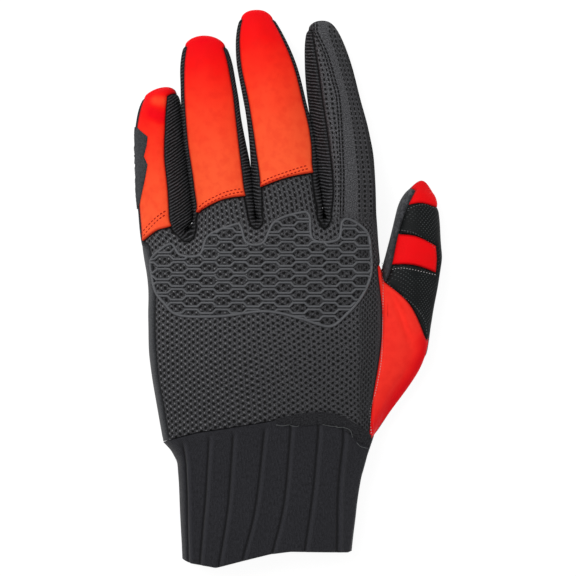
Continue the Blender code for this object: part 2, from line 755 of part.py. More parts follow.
def rib_line(number, columns):
    """A rib's middle line round the cell at the origin: flats that swing from column to column, and ramps."""
    line = []
    base = (0.5 - number) * CELL_ROW
    for column in columns:
        swing = CELL_SWING if (number + column) % 2 == 0 else -CELL_SWING
        start = (column - 0.5) * CELL_PITCH
        line.append((start + CELL_RAMP / 2, base + swing))
        line.append((start + CELL_PITCH - CELL_RAMP / 2, base + swing))
    return np.array(line)


def offset_line(line, reach):
    """A line moved sideways by reach, with mitred corners."""
    ahead = np.diff(line, axis=0)
    ahead /= np.linalg.norm(ahead, axis=1)[:, None]
    normals = np.column_stack((-ahead[:, 1], ahead[:, 0]))
    before = np.vstack((normals[:1], normals))
    after = np.vstack((normals, normals[-1:]))
    share = 1.0 + (before * after).sum(axis=1)
    return line + (before + after) * reach / share[:, None]


def guard_channels(outline):
    """Outlines of the open channels between neighbouring ribs, over the whole guard."""
    from_cell = (outline - GUARD_CELL) / (CELL_PITCH, CELL_ROW)
    (left, bottom), (right, top) = np.floor(from_cell.min(axis=0)), np.ceil(from_cell.max(axis=0))
    columns = range(int(left) - 1, int(right) + 2)
    ribs = [rib_line(number, columns) for number in range(-int(top) - 1, -int(bottom) + 2)]
    channels = []
    for upper, lower in zip(ribs, ribs[1:]):
        roof = offset_line(upper, -GUARD_RIB / 2)
        floor = offset_line(lower, GUARD_RIB / 2)
        channel = np.vstack((roof, floor[::-1]))
        channel[:, 0] += GUARD_LEAN * channel[:, 1]
        channels.append(channel + GUARD_CELL)
    return channels


def add_boolean(obj, cutter, operation):
    step = obj.modifiers.new(operation.lower(), "BOOLEAN")
    step.object = cutter
    step.operation = operation
    step.solver = "EXACT"


def build_guard(surface, collection, cutters, material):
    """The knuckle guard: a pierced flat plate, then laid on the skin along the skin's normals."""
    shares = np.array(GUARD_OUTLINE)
    outline = rounded_loop(shares * (HAND_WIDTH, -HAND_LENGTH), GUARD_STEPS)
    plate = prism("guard_plate", [outline], 0.0, GUARD_HEIGHT, cutters)
    inside = inset_loop(outline, GUARD_BORDER)
    opening = prism("guard_opening", [inside], -GUARD_HEIGHT, 2 * GUARD_HEIGHT, cutters)
    strips = guard_channels(outline)
    channels = prism("guard_channels", strips, -GUARD_HEIGHT / 2, 1.5 * GUARD_HEIGHT, cutters)
    add_boolean(channels, opening, "INTERSECT")
    add_boolean(plate, channels, "DIFFERENCE")
    mesh = evaluated_mesh(plate)
    work = bmesh.new()
    work.from_mesh(mesh)
    bmesh.ops.remove_doubles(work, verts=work.verts, dist=WELD)
    bmesh.ops.triangulate(work, faces=work.faces)
    work.to_mesh(mesh)
    work.free()
    points, normals, faces, _ = surface
    tree = BVHTree.FromPolygons([Vector(point) for point in points], faces)
    sky = Vector((0, 0, 2 * HAND_HEIGHT))
    for vertex in mesh.vertices:
        hit, normal, _, _ = tree.ray_cast(Vector((vertex.co.x, vertex.co.y, 0)) + sky, Vector((0, 0, -1)))
        vertex.co = hit + normal * (GUARD_SEAT + vertex.co.z)
    mesh.name = "knuckle_guard"
    mesh.materials.clear()
    mesh.materials.append(material)
    guard = bpy.data.objects.new("knuckle_guard", mesh)
    collection.objects.link(guard)
    for obj in (plate, opening, channels):
        as_guide(obj)
    return guard


def stand_on_origin(parts, collection):
    """Puts the middle of the glove's footprint on the origin by its parent empty."""
    corners = np.vstack([mesh_points(part.data) for part in parts])
    low, high = corners.min(axis=0), corners.max(axis=0)
    holder = bpy.data.objects.new("glove_origin", None)
    collection.objects.link(holder)
    holder.location = (-(low[0] + high[0]) / 2, -(low[1] + high[1]) / 2, -low[2])
    for part in parts:
        part.parent = holder


def main():
    clear_scene()
    glove = new_collection("motorcycle_glove")
    guides = new_collection("guides")
    for name, _, colour, roughness in PANELS:
        principled(name, colour, roughness)
    skin = build_skin(guides)
    surface = skin_surface(skin)
    parts = []
    for name, wall, _, _ in PANELS:
        parts.append(build_panel(name, wall, surface, glove, bpy.data.materials[name]))
    rubber = principled("knuckle_guard", (0.075, 0.075, 0.080), 0.55)
    parts.append(build_guard(surface, glove, guides, rubber))
    ribbed = principled("cuff", (0.014, 0.014, 0.016), 0.90)
    parts.append(build_cuff(surface, glove, ribbed))
    stand_on_origin(parts, glove)


main()
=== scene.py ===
# A left-hand motorcycle glove lying palm down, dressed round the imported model.
# X runs across the hand to the thumb, Y to the fingertips, Z up; lengths are metres.
import bpy
import numpy as np
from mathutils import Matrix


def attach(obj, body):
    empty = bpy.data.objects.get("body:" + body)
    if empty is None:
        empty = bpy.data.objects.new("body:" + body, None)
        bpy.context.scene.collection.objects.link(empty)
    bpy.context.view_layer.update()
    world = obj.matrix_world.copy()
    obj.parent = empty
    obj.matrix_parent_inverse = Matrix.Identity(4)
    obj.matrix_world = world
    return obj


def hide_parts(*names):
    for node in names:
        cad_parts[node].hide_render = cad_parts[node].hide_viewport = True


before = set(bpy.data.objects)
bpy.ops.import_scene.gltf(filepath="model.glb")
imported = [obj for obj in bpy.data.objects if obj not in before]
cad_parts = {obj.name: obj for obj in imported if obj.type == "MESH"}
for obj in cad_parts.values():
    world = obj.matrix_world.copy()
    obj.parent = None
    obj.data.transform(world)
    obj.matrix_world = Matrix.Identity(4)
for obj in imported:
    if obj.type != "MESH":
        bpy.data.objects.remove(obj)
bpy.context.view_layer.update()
mm = 0.001


def arch(share, power):
    # superellipse: 1 in the middle, 0 at share -1 and 1
    return (1.0 - np.minimum(np.abs(share), 1.0) ** power) ** (1.0 / power)


def unit(vectors):
    # each row divided by its length
    return vectors / np.maximum(np.linalg.norm(vectors, axis=-1, keepdims=True), 1e-12)


def bell(distance, width):
    # smooth bump: 1 at distance 0, gone past about two widths
    return np.exp(-(distance / width) ** 2)


photoGrid = {
    "middle": (288.0, 288.0),
    "place": (-0.00028, 0.00039),
    "step": (0.000432203, 0.000431507),
}


def atPhoto(spots):
    # table places, counted on a 576 square laid over the glove seen from above, turned into metres
    spots = np.asarray(spots, float)
    step = np.array(photoGrid["step"]) * (1.0, -1.0)
    return (spots - photoGrid["middle"]) * step + photoGrid["place"]


def readMesh(mesh, field, items, width=3):
    # one field of all items at once, as rows
    values = np.empty(len(items) * width)
    items.foreach_get(field, values)
    return values.reshape(-1, width)


def addMesh(name, points, faces, material=None):
    # faces: an array of equal faces, or a list of such arrays
    groups = [faces] if isinstance(faces, np.ndarray) else list(faces)
    groups = [np.asarray(group, np.int32) for group in groups if len(group)]
    sizes = np.concatenate([np.full(len(group), group.shape[1]) for group in groups])
    corners = np.concatenate([group.ravel() for group in groups])
    mesh = bpy.data.meshes.new(name)
    mesh.vertices.add(len(points))
    mesh.vertices.foreach_set("co", np.ascontiguousarray(points, np.float32).ravel())
    mesh.loops.add(len(corners))
    mesh.loops.foreach_set("vertex_index", corners)
    mesh.polygons.add(len(sizes))
    mesh.polygons.foreach_set("loop_start", np.concatenate(([0], np.cumsum(sizes)[:-1])))
    mesh.polygons.foreach_set("loop_total", sizes)
    mesh.polygons.foreach_set("use_smooth", np.full(len(sizes), True))
    mesh.update(calc_edges=True)
    mesh.validate()
    obj = bpy.data.objects.new(name, mesh)
    bpy.context.scene.collection.objects.link(obj)
    if material is not None:
        mesh.materials.append(material)
    return obj


def setCloth(obj, cloth):
    # cloth: two lengths in metres for every vertex, put into the UV map that the weaves read
    layer = obj.data.uv_layers.new(name="cloth")
    corner = np.empty(len(obj.data.loops), np.int32)
    obj.data.loops.foreach_get("vertex_index", corner)
    layer.data.foreach_set("uv", np.ascontiguousarray(cloth[corner], np.float32).ravel())


def setField(obj, name, values):
    # one number for every vertex, which a finish reads by its name
    field = obj.data.attributes.new(name, "FLOAT", "POINT")
    field.data.foreach_set("value", np.ascontiguousarray(values, np.float32))


def gridFaces(rows, columns, closed=False, flip=False):
    # quads between the neighbouring points of a grid; closed joins the last column to the first
    ids = np.arange(rows * columns).reshape(rows, columns)
    if closed:
        ids = np.column_stack((ids, ids[:, 0]))
    quads = np.stack((ids[:-1, :-1], ids[:-1, 1:], ids[1:, 1:], ids[1:, :-1]), axis=-1).reshape(-1, 4)
    return quads[:, ::-1] if flip else quads


def alongLine(line, step):
    # the same polyline cut into even steps
    line = np.asarray(line, float)
    length = np.concatenate(([0.0], np.cumsum(np.linalg.norm(np.diff(line, axis=0), axis=1))))
    wanted = np.linspace(0.0, length[-1], max(int(round(length[-1] / step)), 1) + 1)
    return np.column_stack([np.interp(wanted, length, line[:, axis]) for axis in range(line.shape[1])])


def roundLine(line, step, closed=False):
    # smooth curve through the points: cubic pieces whose slopes come from the neighbours
    line = np.asarray(line, float)
    if closed:
        before, after = np.roll(line, 1, axis=0), np.roll(line, -1, axis=0)
    else:
        before = np.vstack((2 * line[:1] - line[1:2], line[:-1]))
        after = np.vstack((line[1:], 2 * line[-1:] - line[-2:-1]))
    slope = (after - before) / 2
    ends = np.arange(len(line)) if closed else np.arange(len(line) - 1)
    nxt = (ends + 1) % len(line)
    share = np.linspace(0, 1, 24, endpoint=False)[None, :, None]
    a, b = line[ends][:, None], line[nxt][:, None]
    sa, sb = slope[ends][:, None], slope[nxt][:, None]
    curve = a * (2 * share**3 - 3 * share**2 + 1) + b * (3 * share**2 - 2 * share**3)
    curve = curve + sa * (share**3 - 2 * share**2 + share) + sb * (share**3 - share**2)
    curve = curve.reshape(-1, line.shape[1])
    curve = np.vstack((curve, line[:1] if closed else line[-1:]))
    return alongLine(curve, step)


def toLine(points, line):
    # distance of every point from a polyline in the plane, and how far along it, 0 to 1
    start, step = line[:-1], np.diff(line, axis=0)
    size = np.maximum((step**2).sum(axis=1), 1e-18)
    best = np.full(len(points), np.inf)
    reach = np.zeros(len(points))
    for place in range(0, len(points), 4000):
        offset = points[place : place + 4000, None] - start
        share = np.clip((offset * step).sum(axis=2) / size, 0.0, 1.0)
        gap = np.linalg.norm(offset - share[..., None] * step, axis=2)
        pick = gap.argmin(axis=1)
        rows = np.arange(len(pick))
        best[place : place + 4000] = gap[rows, pick]
        reach[place : place + 4000] = (pick + share[rows, pick]) / len(step)
    return best, reach


def nearest(points, others, count):
    # indices and distances of the nearest few of the others
    picks, gaps = [], []
    for place in range(0, len(points), 400):
        gap = ((points[place : place + 400, None] - others) ** 2).sum(axis=2)
        pick = np.argpartition(gap, count - 1, axis=1)[:, :count]
        picks.append(pick)
        gaps.append(np.sqrt(np.take_along_axis(gap, pick, axis=1)))
    return np.vstack(picks), np.vstack(gaps)


def wave(points, size, seed):
    # soft unevenness from -1 to 1: a few plane waves with seeded directions, about one size long
    dice = np.random.default_rng(seed)
    ways = unit(dice.normal(size=(9, 3))) * dice.uniform(0.7, 1.5, (9, 1)) * 2 * np.pi / size
    return np.sin(points @ ways.T + dice.uniform(0, 2 * np.pi, 9)).sum(axis=1) / 4.5


print("tools ready")

# One cage of coarse quads. Columns round each finger: back seam, middle, seam, right edge,
# three on the palm side, left edge. Rows: six across the hand, then five along each finger.

skin = {
    "stand": (-0.0127529, 0.0285840, 0.0000118),
    "width": 0.1020,
    "length": 0.0945,
    "height": 0.0300,
    "sideHeight": 0.42,
    "fingerDepth": 0.0190,
    "thumbSize": (0.0216, 0.1122),
    "thumbDepth": 0.0200,
    "thumbLine": 0.661,
    "tipReach": (1.022, 1.020, 1.016, 1.008),
    "levels": 4,
    # down, left, right, bow, web, top
    "handRows": (
        (1.00, -0.407, 0.470, 0.132, 0.00, 0.84),
        (0.79, -0.441, 0.487, 0.085, 0.00, 0.90),
        (0.58, -0.466, 0.517, 0.040, 0.10, 0.96),
        (0.37, -0.470, 0.521, 0.010, 0.35, 1.00),
        (0.20, -0.471, 0.511, 0.000, 0.70, 1.00),
        (0.00, -0.494, 0.500, 0.000, 1.00, 0.90),
    ),
    "bowLine": (
        (-0.500, 0.00),
        (-0.350, 0.31),
        (-0.147, 0.53),
        (-0.010, 0.69),
        (0.157, 0.93),
        (0.258, 1.00),
        (0.331, 0.93),
        (0.403, 0.69),
        (0.476, 0.40),
        (0.500, 0.17),
    ),
    # across, drop of the crotch
    "fingerLines": ((-0.500, 0.120), (-0.305, 0.073), (-0.013, 0.005), (0.275, -0.005), (0.500, 0.000)),
    # length, width, root, lean
    "fingers": (
        (0.0579, 0.0216, -0.402, -0.008),
        (0.0799, 0.0242, -0.159, -0.089),
        (0.0913, 0.0250, 0.131, -0.151),
        (0.0872, 0.0237, 0.388, -0.136),
    ),
    # left along, across, right along, across, left seam, right seam, bow
    "fingerRows": (
        (
            (-0.142, -0.445, 0.060, 0.590, -0.96, 0.12, 0.07),
            (0.142, -0.535, 0.254, 0.545, -0.96, 0.17, 0.02),
            (0.425, -0.560, 0.515, 0.475, -0.96, 0.13, 0.00),
            (0.709, -0.560, 0.754, 0.395, -0.965, 0.27, 0.00),
            (0.930, -0.395, 0.965, 0.290, -0.97, 0.40, 0.00),
        ),
        (
            (0.043, -0.505, 0.162, 0.635, -0.83, 0.70, 0.08),
            (0.308, -0.520, 0.346, 0.605, -0.90, 0.72, 0.02),
            (0.546, -0.535, 0.562, 0.520, -0.90, 0.83, 0.00),
            (0.768, -0.510, 0.768, 0.470, -0.88, 0.85, 0.00),
            (0.955, -0.400, 0.950, 0.365, -0.86, 0.86, 0.00),
        ),
        (
            (0.156, -0.565, 0.246, 0.640, -0.74, 0.80, 0.04),
            (0.388, -0.500, 0.397, 0.625, -0.84, 0.93, 0.01),
            (0.600, -0.480, 0.605, 0.570, -0.86, 0.94, 0.00),
            (0.785, -0.498, 0.794, 0.472, -0.88, 0.94, 0.00),
            (0.965, -0.338, 0.965, 0.257, -0.89, 0.93, 0.00),
        ),
        (
            (0.183, -0.512, 0.198, 0.542, -0.48, 0.92, 0.00),
            (0.406, -0.490, 0.416, 0.562, -0.47, 0.92, 0.00),
            (0.629, -0.482, 0.634, 0.471, -0.45, 0.92, 0.00),
            (0.797, -0.438, 0.807, 0.395, -0.48, 0.92, 0.00),
            (0.955, -0.313, 0.955, 0.233, -0.70, 0.90, 0.00),
        ),
    ),
    # centre and half depth of each finger row, and the tip
    "fingerHeights": ((0.80, 0.50), (0.71, 0.48), (0.59, 0.45), (0.47, 0.41), (0.375, 0.31), (0.36, 0.00)),
    # left seam x, y, right seam x, y, outline x, y, then their heights, bow
    "thumbRoots": (
        (-0.87, 0.019, -0.84, 0.020, -0.82, 0.022, 0.80, 0.68, 0.55, 0.42, 0.00),
        (-0.76, 0.142, -0.44, 0.150, -0.32, 0.158, 0.89, 0.78, 0.60, 0.42, 0.00),
        (-0.60, 0.342, -0.02, 0.269, 0.06, 0.265, 1.00, 0.90, 0.68, 0.44, 0.00),
        (-0.58, 0.523, 0.13, 0.327, 0.19, 0.331, 1.02, 0.98, 0.76, 0.48, 0.04),
        (-0.61, 0.615, 0.21, 0.396, 0.28, 0.402, 0.98, 1.02, 0.80, 0.50, 0.15),
    ),
    "thumbRows": (
        (0.688, -0.65, 0.650, 0.50, -0.70, 0.89, 0.06, 0.53, 0.49),
        (0.808, -0.48, 0.745, 0.535, -0.76, 0.78, 0.07, 0.50, 0.47),
        (0.915, -0.324, 0.904, 0.46, -0.54, 0.87, 0.06, 0.45, 0.39),
        (0.975, -0.11, 0.957, 0.37, -0.52, 0.84, 0.00, 0.41, 0.27),
    ),
    "thumbTip": (0.166, 1.012, 0.40),
}
panelNames = (
    "palm",
    "back_panel",
    "finger_back_little",
    "finger_back_ring",
    "finger_back_middle",
    "fourchette_little_ring",
    "fourchette_ring_middle",
    "fourchette_middle_index",
    "thumb_gusset",
    "thumb_panel",
    "thumb_band",
    "thumb_tip",
)
panelOf = {name: number for number, name in enumerate(panelNames)}


def handPoint(row, across):
    # across the hand: x runs with the share, y follows the bow less the drop, z is a flat-topped arch
    down, left, right, bow, web, top = np.moveaxis(np.asarray(row, float), -1, 0)
    across = np.asarray(across, float)
    x = (left + (right - left) * (across + 0.5)) * skin["width"]
    drop = np.interp(across, *np.array(skin["fingerLines"]).T)
    lead = np.interp(across, *np.array(skin["bowLine"]).T)
    y = (bow * lead - down - web * drop) * skin["length"]
    side = skin["sideHeight"] * top * skin["height"]
    z = side + (top * skin["height"] - side) * arch(2.0 * across * 0.92, 2.5)
    return np.stack((x, y, z), axis=-1)


def ringPoints(left, right, seams, bow, centre, half):
    # closed rows of eight: a superellipse between two outline points, with the seams on it
    middle, reach = (left + right) / 2, (right - left) / 2
    ease = 1.0 - 0.15 * np.maximum(np.abs(seams) - 0.6, 0.0)
    shares = np.zeros((len(left), 8))
    shares[:, 0], shares[:, 2] = seams[:, 0], seams[:, 1]
    shares[:, 1] = seams.mean(axis=1)
    shares[:, 3], shares[:, 7] = ease[:, 1], -ease[:, 0]
    shares[:, 4], shares[:, 6] = 0.62, -0.62
    side = np.array((1, 1, 1, 0, -1, -1, -1, 0))
    plane = middle[:, None] + reach[:, None] * shares[..., None]
    plane[:, 1, 1] += bow
    z = centre[:, None] + side * half[:, None] * arch(shares, 2.4)
    return np.dstack((plane, np.maximum(z, 0.0)))


def cageTargets():
    # points[finger, row, column]; rows that a finger hasn't are not-a-number
    points = np.full((5, 11, 8, 3), np.nan)
    tips = np.zeros((5, 3))
    rows = np.array(skin["handRows"])
    lines = np.array(skin["fingerLines"])[:, 0]
    seam = 0.0024 / skin["width"]
    first, last = lines[:-1] + seam, lines[1:] - seam
    first[0], last[3] = lines[0] + 0.028, lines[4]
    across = np.column_stack((first, (first + last) / 2, last))
    hand = handPoint(rows[None, :, None, :], across[:, None, :])
    points[:4, :6, :3] = hand
    points[:4, :6, [6, 5, 4]] = hand * (1, 1, 0)
    points[0, :6, 6, 0] += 0.002 * skin["width"]
    points[3, :6, 4, 0] -= 0.030 * skin["width"]
    side = skin["sideHeight"] * rows[:, 5] * skin["height"]
    points[0, :6, 7] = handPoint(rows, lines[0])
    points[0, :6, 7, 2] = side
    points[3, 4:6, 3] = handPoint(rows[4:], lines[4])
    points[3, 4:6, 3, 2] = side[4:]
    points[3, 4:6, 2, 0] -= np.array((0.006, 0.018)) * skin["width"]
    web = handPoint(rows[5], lines[1:4]) * (1, 1, 0)
    web += (0, 0.05 * skin["length"], 0.55 * rows[5, 5] * skin["height"])
    points[0:3, 5, 3] = web - (0.0012, 0, 0)
    points[1:4, 5, 7] = web + (0.0012, 0, 0)
    points[:4, 5, 4:7, 1] += 0.06 * skin["length"]
    points[:4, 5, 4:7, 2] = 0.040 * skin["height"]
    for group, (length, width, root, lean) in enumerate(skin["fingers"]):
        cut = np.array(skin["fingerRows"][group])
        line, way = np.array((root * skin["width"], 0.0)), np.array((lean, 1.0)) * length
        left = line + way * cut[:, 0:1] + np.array((width, 0.0)) * cut[:, 1:2]
        right = line + way * cut[:, 2:3] + np.array((width, 0.0)) * cut[:, 3:4]
        heights = np.array(skin["fingerHeights"]) * skin["fingerDepth"]
        centre, half = heights[:5].T
        points[group, 6:] = ringPoints(left, right, cut[:, 4:6], cut[:, 6] * width, centre, half)
        tips[group] = (*(line + way * skin["tipReach"][group]), heights[5, 0])
    line = np.array((skin["thumbLine"] * skin["width"], -skin["length"]))
    size, depth = np.array(skin["thumbSize"]), skin["thumbDepth"]
    root = np.array(skin["thumbRoots"])
    a, b, edge = (line + size * root[:, place : place + 2] for place in (0, 2, 4))
    middle = (a + b) / 2 + root[:, 10:] * size[0] * np.array((0.8, 0.6))
    heights = root[:, 6:10, None] * depth
    for column, place in enumerate((a, middle, b, edge)):
        points[4, :5, column] = np.hstack((place, heights[:, column]))
    inset = np.array((0.12 * size[0], 0.0))
    for column, place in ((6, a - inset), (5, (a + b - inset) / 2), (4, b)):
        points[4, :5, column] = np.hstack((place, np.zeros((5, 1))))
    crotch, hand = points[4, 4, 0], points[3, 4, 3]
    points[4, 4, 7] = crotch + (hand - crotch) * (0.6, 0.8, 0.0) - (0, 0, 0.45 * depth)
    cut = np.array(skin["thumbRows"])
    left, right = (line + size * cut[:, place][:, ::-1] for place in ((0, 1), (2, 3)))
    rings = ringPoints(left, right, cut[:, 4:6], cut[:, 6] * size[0], cut[:, 7] * depth, cut[:, 8] * depth)
    points[4, 5:9] = rings
    x, y, z = skin["thumbTip"]
    tips[4] = (*(line + size * (x, y)), z * depth)
    return points, tips


def panelTable():
    # which panel the quad above and to the right of each cage point belongs to
    table = np.zeros((5, 11, 8), int)
    table[:4, :, :3] = panelOf["back_panel"]
    for group in range(3):
        table[group, 6:, :2] = panelOf["finger_back_little"] + group
        table[group, :, 2:4] = panelOf["fourchette_little_ring"] + group
        table[group + 1, :, 6:] = panelOf["fourchette_little_ring"] + group
    table[4, :4, :3] = panelOf["thumb_gusset"]
    table[4, 4:, :3] = panelOf["thumb_panel"]
    table[4, 5, :2] = panelOf["thumb_band"]
    table[4, 7:, :3] = panelOf["thumb_tip"]
    return table


def cageQuads(points):
    # strips up each finger, valleys between them, webs at the crotches and four quads on each tip
    there = ~np.isnan(points[..., 0])
    ids = np.where(there, np.cumsum(there).reshape(there.shape) - 1, -1)
    tipIds = there.sum() + np.arange(5)
    table = panelTable()
    ahead = np.roll(ids, -1, axis=2)
    strips = np.stack((ids[:, :-1], ahead[:, :-1], ahead[:, 1:], ids[:, 1:]), axis=-1)
    keep = (strips >= 0).all(axis=-1)
    quads, panels = [strips[keep]], [table[:, :-1][keep]]
    for group in range(4):
        crotch = 5 if group < 3 else 4
        near, far = ids[group], ids[group + 1]
        valley = np.stack((near[:crotch, 2], far[:crotch, 0], far[1 : crotch + 1, 0], near[1 : crotch + 1, 2]), 1)
        under = np.stack((far[:crotch, 6], near[:crotch, 4], near[1 : crotch + 1, 4], far[1 : crotch + 1, 6]), 1)
        web = np.array((
            (near[crotch, 2], far[crotch, 0], far[crotch, 7], near[crotch, 3]),
            (near[crotch, 3], far[crotch, 7], far[crotch, 6], near[crotch, 4]),
        ))
        side = panelOf["fourchette_little_ring"] + group
        upper = panelOf["back_panel"] if group < 3 else panelOf["thumb_gusset"]
        quads += [valley, under, web]
        panels += [np.full(crotch, upper), np.zeros(crotch, int), (side, side) if group < 3 else (upper, 0)]
    for group in range(5):
        top = ids[group][10 if group < 4 else 8]
        back = (2, 3, 4, 1, panelOf["thumb_tip"])[group]
        quads.append(np.array([(*np.take(top, range(s, s + 3), mode="wrap"), tipIds[group]) for s in (7, 1, 3, 5)]))
        panels.append((back, back, 0, 0))
    return np.vstack(quads), np.concatenate(panels)


def evaluated(obj):
    # the mesh as its modifiers leave it
    bpy.context.view_layer.update()
    return bpy.data.meshes.new_from_object(obj.evaluated_get(bpy.context.evaluated_depsgraph_get()))


def roundSkin():
    # the cage is moved until its smooth surface runs through the tables' points, then divided finely
    points, tips = cageTargets()
    quads, panels = cageQuads(points)
    target = np.vstack((points[~np.isnan(points[..., 0])], tips))
    cage = addMesh("cage", target, quads)
    for name in panelNames:
        cage.data.materials.append(bpy.data.materials.new("cut_" + name))
    cage.data.polygons.foreach_set("material_index", panels.astype(np.int32))
    smooth = cage.modifiers.new("smooth", "SUBSURF")
    smooth.levels = smooth.render_levels = 1
    held = target.copy()
    for _ in range(6):
        mesh = evaluated(cage)
        held += target - readMesh(mesh, "co", mesh.vertices)[: len(target)]
        bpy.data.meshes.remove(mesh)
        cage.data.vertices.foreach_set("co", held.ravel())
        cage.data.update()
    smooth.levels = smooth.render_levels = skin["levels"]
    mesh = evaluated(cage)
    points = readMesh(mesh, "co", mesh.vertices)
    corners = np.empty(len(mesh.loops), np.int32)
    mesh.loops.foreach_get("vertex_index", corners)
    numbers = np.empty(len(mesh.polygons), np.int32)
    mesh.polygons.foreach_get("material_index", numbers)
    bpy.data.meshes.remove(mesh)
    bpy.data.objects.remove(cage, do_unlink=True)
    for name in panelNames:
        bpy.data.materials.remove(bpy.data.materials["cut_" + name])
    points[:, 2] = np.maximum(points[:, 2], 0.0)
    return points + skin["stand"], corners.reshape(-1, 4), numbers


skinPoints, skinFaces, skinPanels = roundSkin()
print("skin", len(skinPoints), "points")

# where the fingers press on each other
valleys = {
    "gap": 0.04 * mm,
    "bin": 0.9 * mm,
    "pinch": (221, 208, 206),
    "closed": atPhoto((0, 180))[1],
    "lines": (
        ((182.4, 96), (183.8, 121), (186.3, 142), (189.5, 171), (191.4, 188), (194.0, 210), (190.5, 240)),
        ((251.0, 166), (253.0, 190), (255.0, 210), (256.5, 232)),
        ((308.6, 124), (311.5, 140), (315.5, 158), (319.0, 180), (322.0, 200), (324.0, 230)),
    ),
    "knits": ("fourchette_little_ring", "fourchette_ring_middle", "fourchette_middle_index"),
}


def pressValleys(points):
    # left of a valley x stays under the valley's line, right of it over the line, where the line runs
    points = points.copy()
    for place, (line, knit) in enumerate(zip(valleys["lines"], valleys["knits"])):
        line = atPhoto(line)[::-1]
        used = np.unique(skinFaces[skinPanels == panelOf[knit]])
        x, y = points[used, 0], points[used, 1]
        middle = np.interp(y, line[:, 1], line[:, 0])
        inside = (y < line[-1, 1]) & (y > line[0, 1] + 4 * mm)
        leftSide = x < middle
        away = np.abs(x - middle)
        bins = np.arange(line[0, 1], line[-1, 1], valleys["bin"])
        inBin = np.clip(np.searchsorted(bins, y) - 1, 0, len(bins) - 1)
        shift = np.zeros(len(used))
        for side in (leftSide, ~leftSide):
            nearestWall = np.full(len(bins), 1.0)
            wall = side & (np.abs(y - np.clip(y, bins[0], bins[-1])) < valleys["bin"])
            np.minimum.at(nearestWall, inBin[wall], away[wall])
            nearestWall = np.where(nearestWall > 5 * mm, 0.0, nearestWall)
            nearestWall = np.max([np.roll(nearestWall, step) for step in range(-4, 5)], axis=0)
            shift = np.where(side, np.interp(y, bins + valleys["bin"] / 2, nearestWall), shift)
        fade = np.clip((valleys["closed"] - y) / (4 * mm), 0, 1) * np.clip((y - line[0, 1] - 2 * mm) / (2 * mm), 0, 1)
        shift = shift * fade * bell(np.maximum(away - shift, 0.0), 2.4 * mm)
        x = np.where(leftSide, x + shift, x - shift)
        pinch = bell(y - atPhoto((0, valleys["pinch"][place]))[1], 2.2 * mm) * bell(away, 2.0 * mm)
        x = middle + (x - middle) * (1.0 - 0.95 * np.clip(pinch * 1.3, 0, 1))
        pressed = np.where(leftSide, np.minimum(x, middle - valleys["gap"]), np.maximum(x, middle + valleys["gap"]))
        points[used, 0] = np.where(inside, pressed, x)
    return points


def besideValley(points):
    # 1 on the closed part of a valley's line, fading over a few millimetres beside it
    near = np.zeros(len(points))
    for line in valleys["lines"]:
        line = atPhoto(line)[::-1]
        away = np.abs(points[:, 0] - np.interp(points[:, 1], line[:, 1], line[:, 0]))
        closed = np.clip((valleys["closed"] + 3 * mm - points[:, 1]) / (3 * mm), 0, 1) * (points[:, 1] > line[0, 1])
        near = np.maximum(near, bell(np.maximum(away - 0.8 * mm, 0), 1.4 * mm) * closed)
    return near


def faceNormals(points, faces):
    # cross product of the two diagonals, twice the face's area long
    a, b, c, d = (points[faces[:, place]] for place in range(4))
    return np.cross(c - a, d - b)


def pointNormals(points, faces):
    # sum of the normals of the faces round each point, so larger faces weigh more
    normals = np.zeros_like(points)
    across = faceNormals(points, faces)
    for place in range(4):
        np.add.at(normals, faces[:, place], across)
    return unit(normals)


def borderOf(faces):
    # edges used by one face only, in that face's direction
    edges = np.stack((faces, np.roll(faces, -1, axis=1)), axis=-1).reshape(-1, 2)
    owner = np.repeat(np.arange(len(faces)), 4)
    keys = edges.min(axis=1).astype(np.int64) * 10_000_000 + edges.max(axis=1)
    _, where, uses = np.unique(keys, return_index=True, return_counts=True)
    pick = where[uses == 1]
    return edges[pick], owner[pick]


skinNormals = pointNormals(skinPoints, skinFaces)
wristRing = np.unique(borderOf(skinFaces)[0])
skinNormals[wristRing] = unit(skinNormals[wristRing] * (1, 0, 1))

# cloth lengths over the skin, for the weaves
topLine = {
    "y": (-0.066, -0.045, -0.010, 0.018, 0.0446, 0.064, 0.0835, 0.098, 0.112),
    "z": (0.0255, 0.0270, 0.0300, 0.0285, 0.0247, 0.0226, 0.0198, 0.0167, 0.0130),
    "lean": 0.14,
    "leanFrom": 0.025,
    "middle": -0.0115,
    "half": 0.030,
}


def clothLengths(points):
    # across: x opened out by how far the cloth has turned down at the sides; along: y
    x, y, z = points.T
    turned = np.clip((x - topLine["middle"]) / topLine["half"], -1, 1)
    fall = np.maximum(np.interp(y, topLine["y"], topLine["z"]) - z, 0.0)
    across = x + fall * turned + topLine["lean"] * np.maximum(y - topLine["leanFrom"], 0)
    return np.column_stack((across, y))


class Wire:
    # one output of a shader graph: arithmetic on it adds Math nodes
    def __init__(self, graph, socket):
        self.graph, self.socket = graph, socket

    def __add__(self, other):
        return self.graph.maths("ADD", self, other)

    __radd__ = __add__

    def __sub__(self, other):
        return self.graph.maths("SUBTRACT", self, other)

    def __rsub__(self, other):
        return self.graph.maths("SUBTRACT", other, self)

    def __mul__(self, other):
        return self.graph.maths("MULTIPLY", self, other)

    __rmul__ = __mul__

    def __truediv__(self, other):
        return self.graph.maths("DIVIDE", self, other)


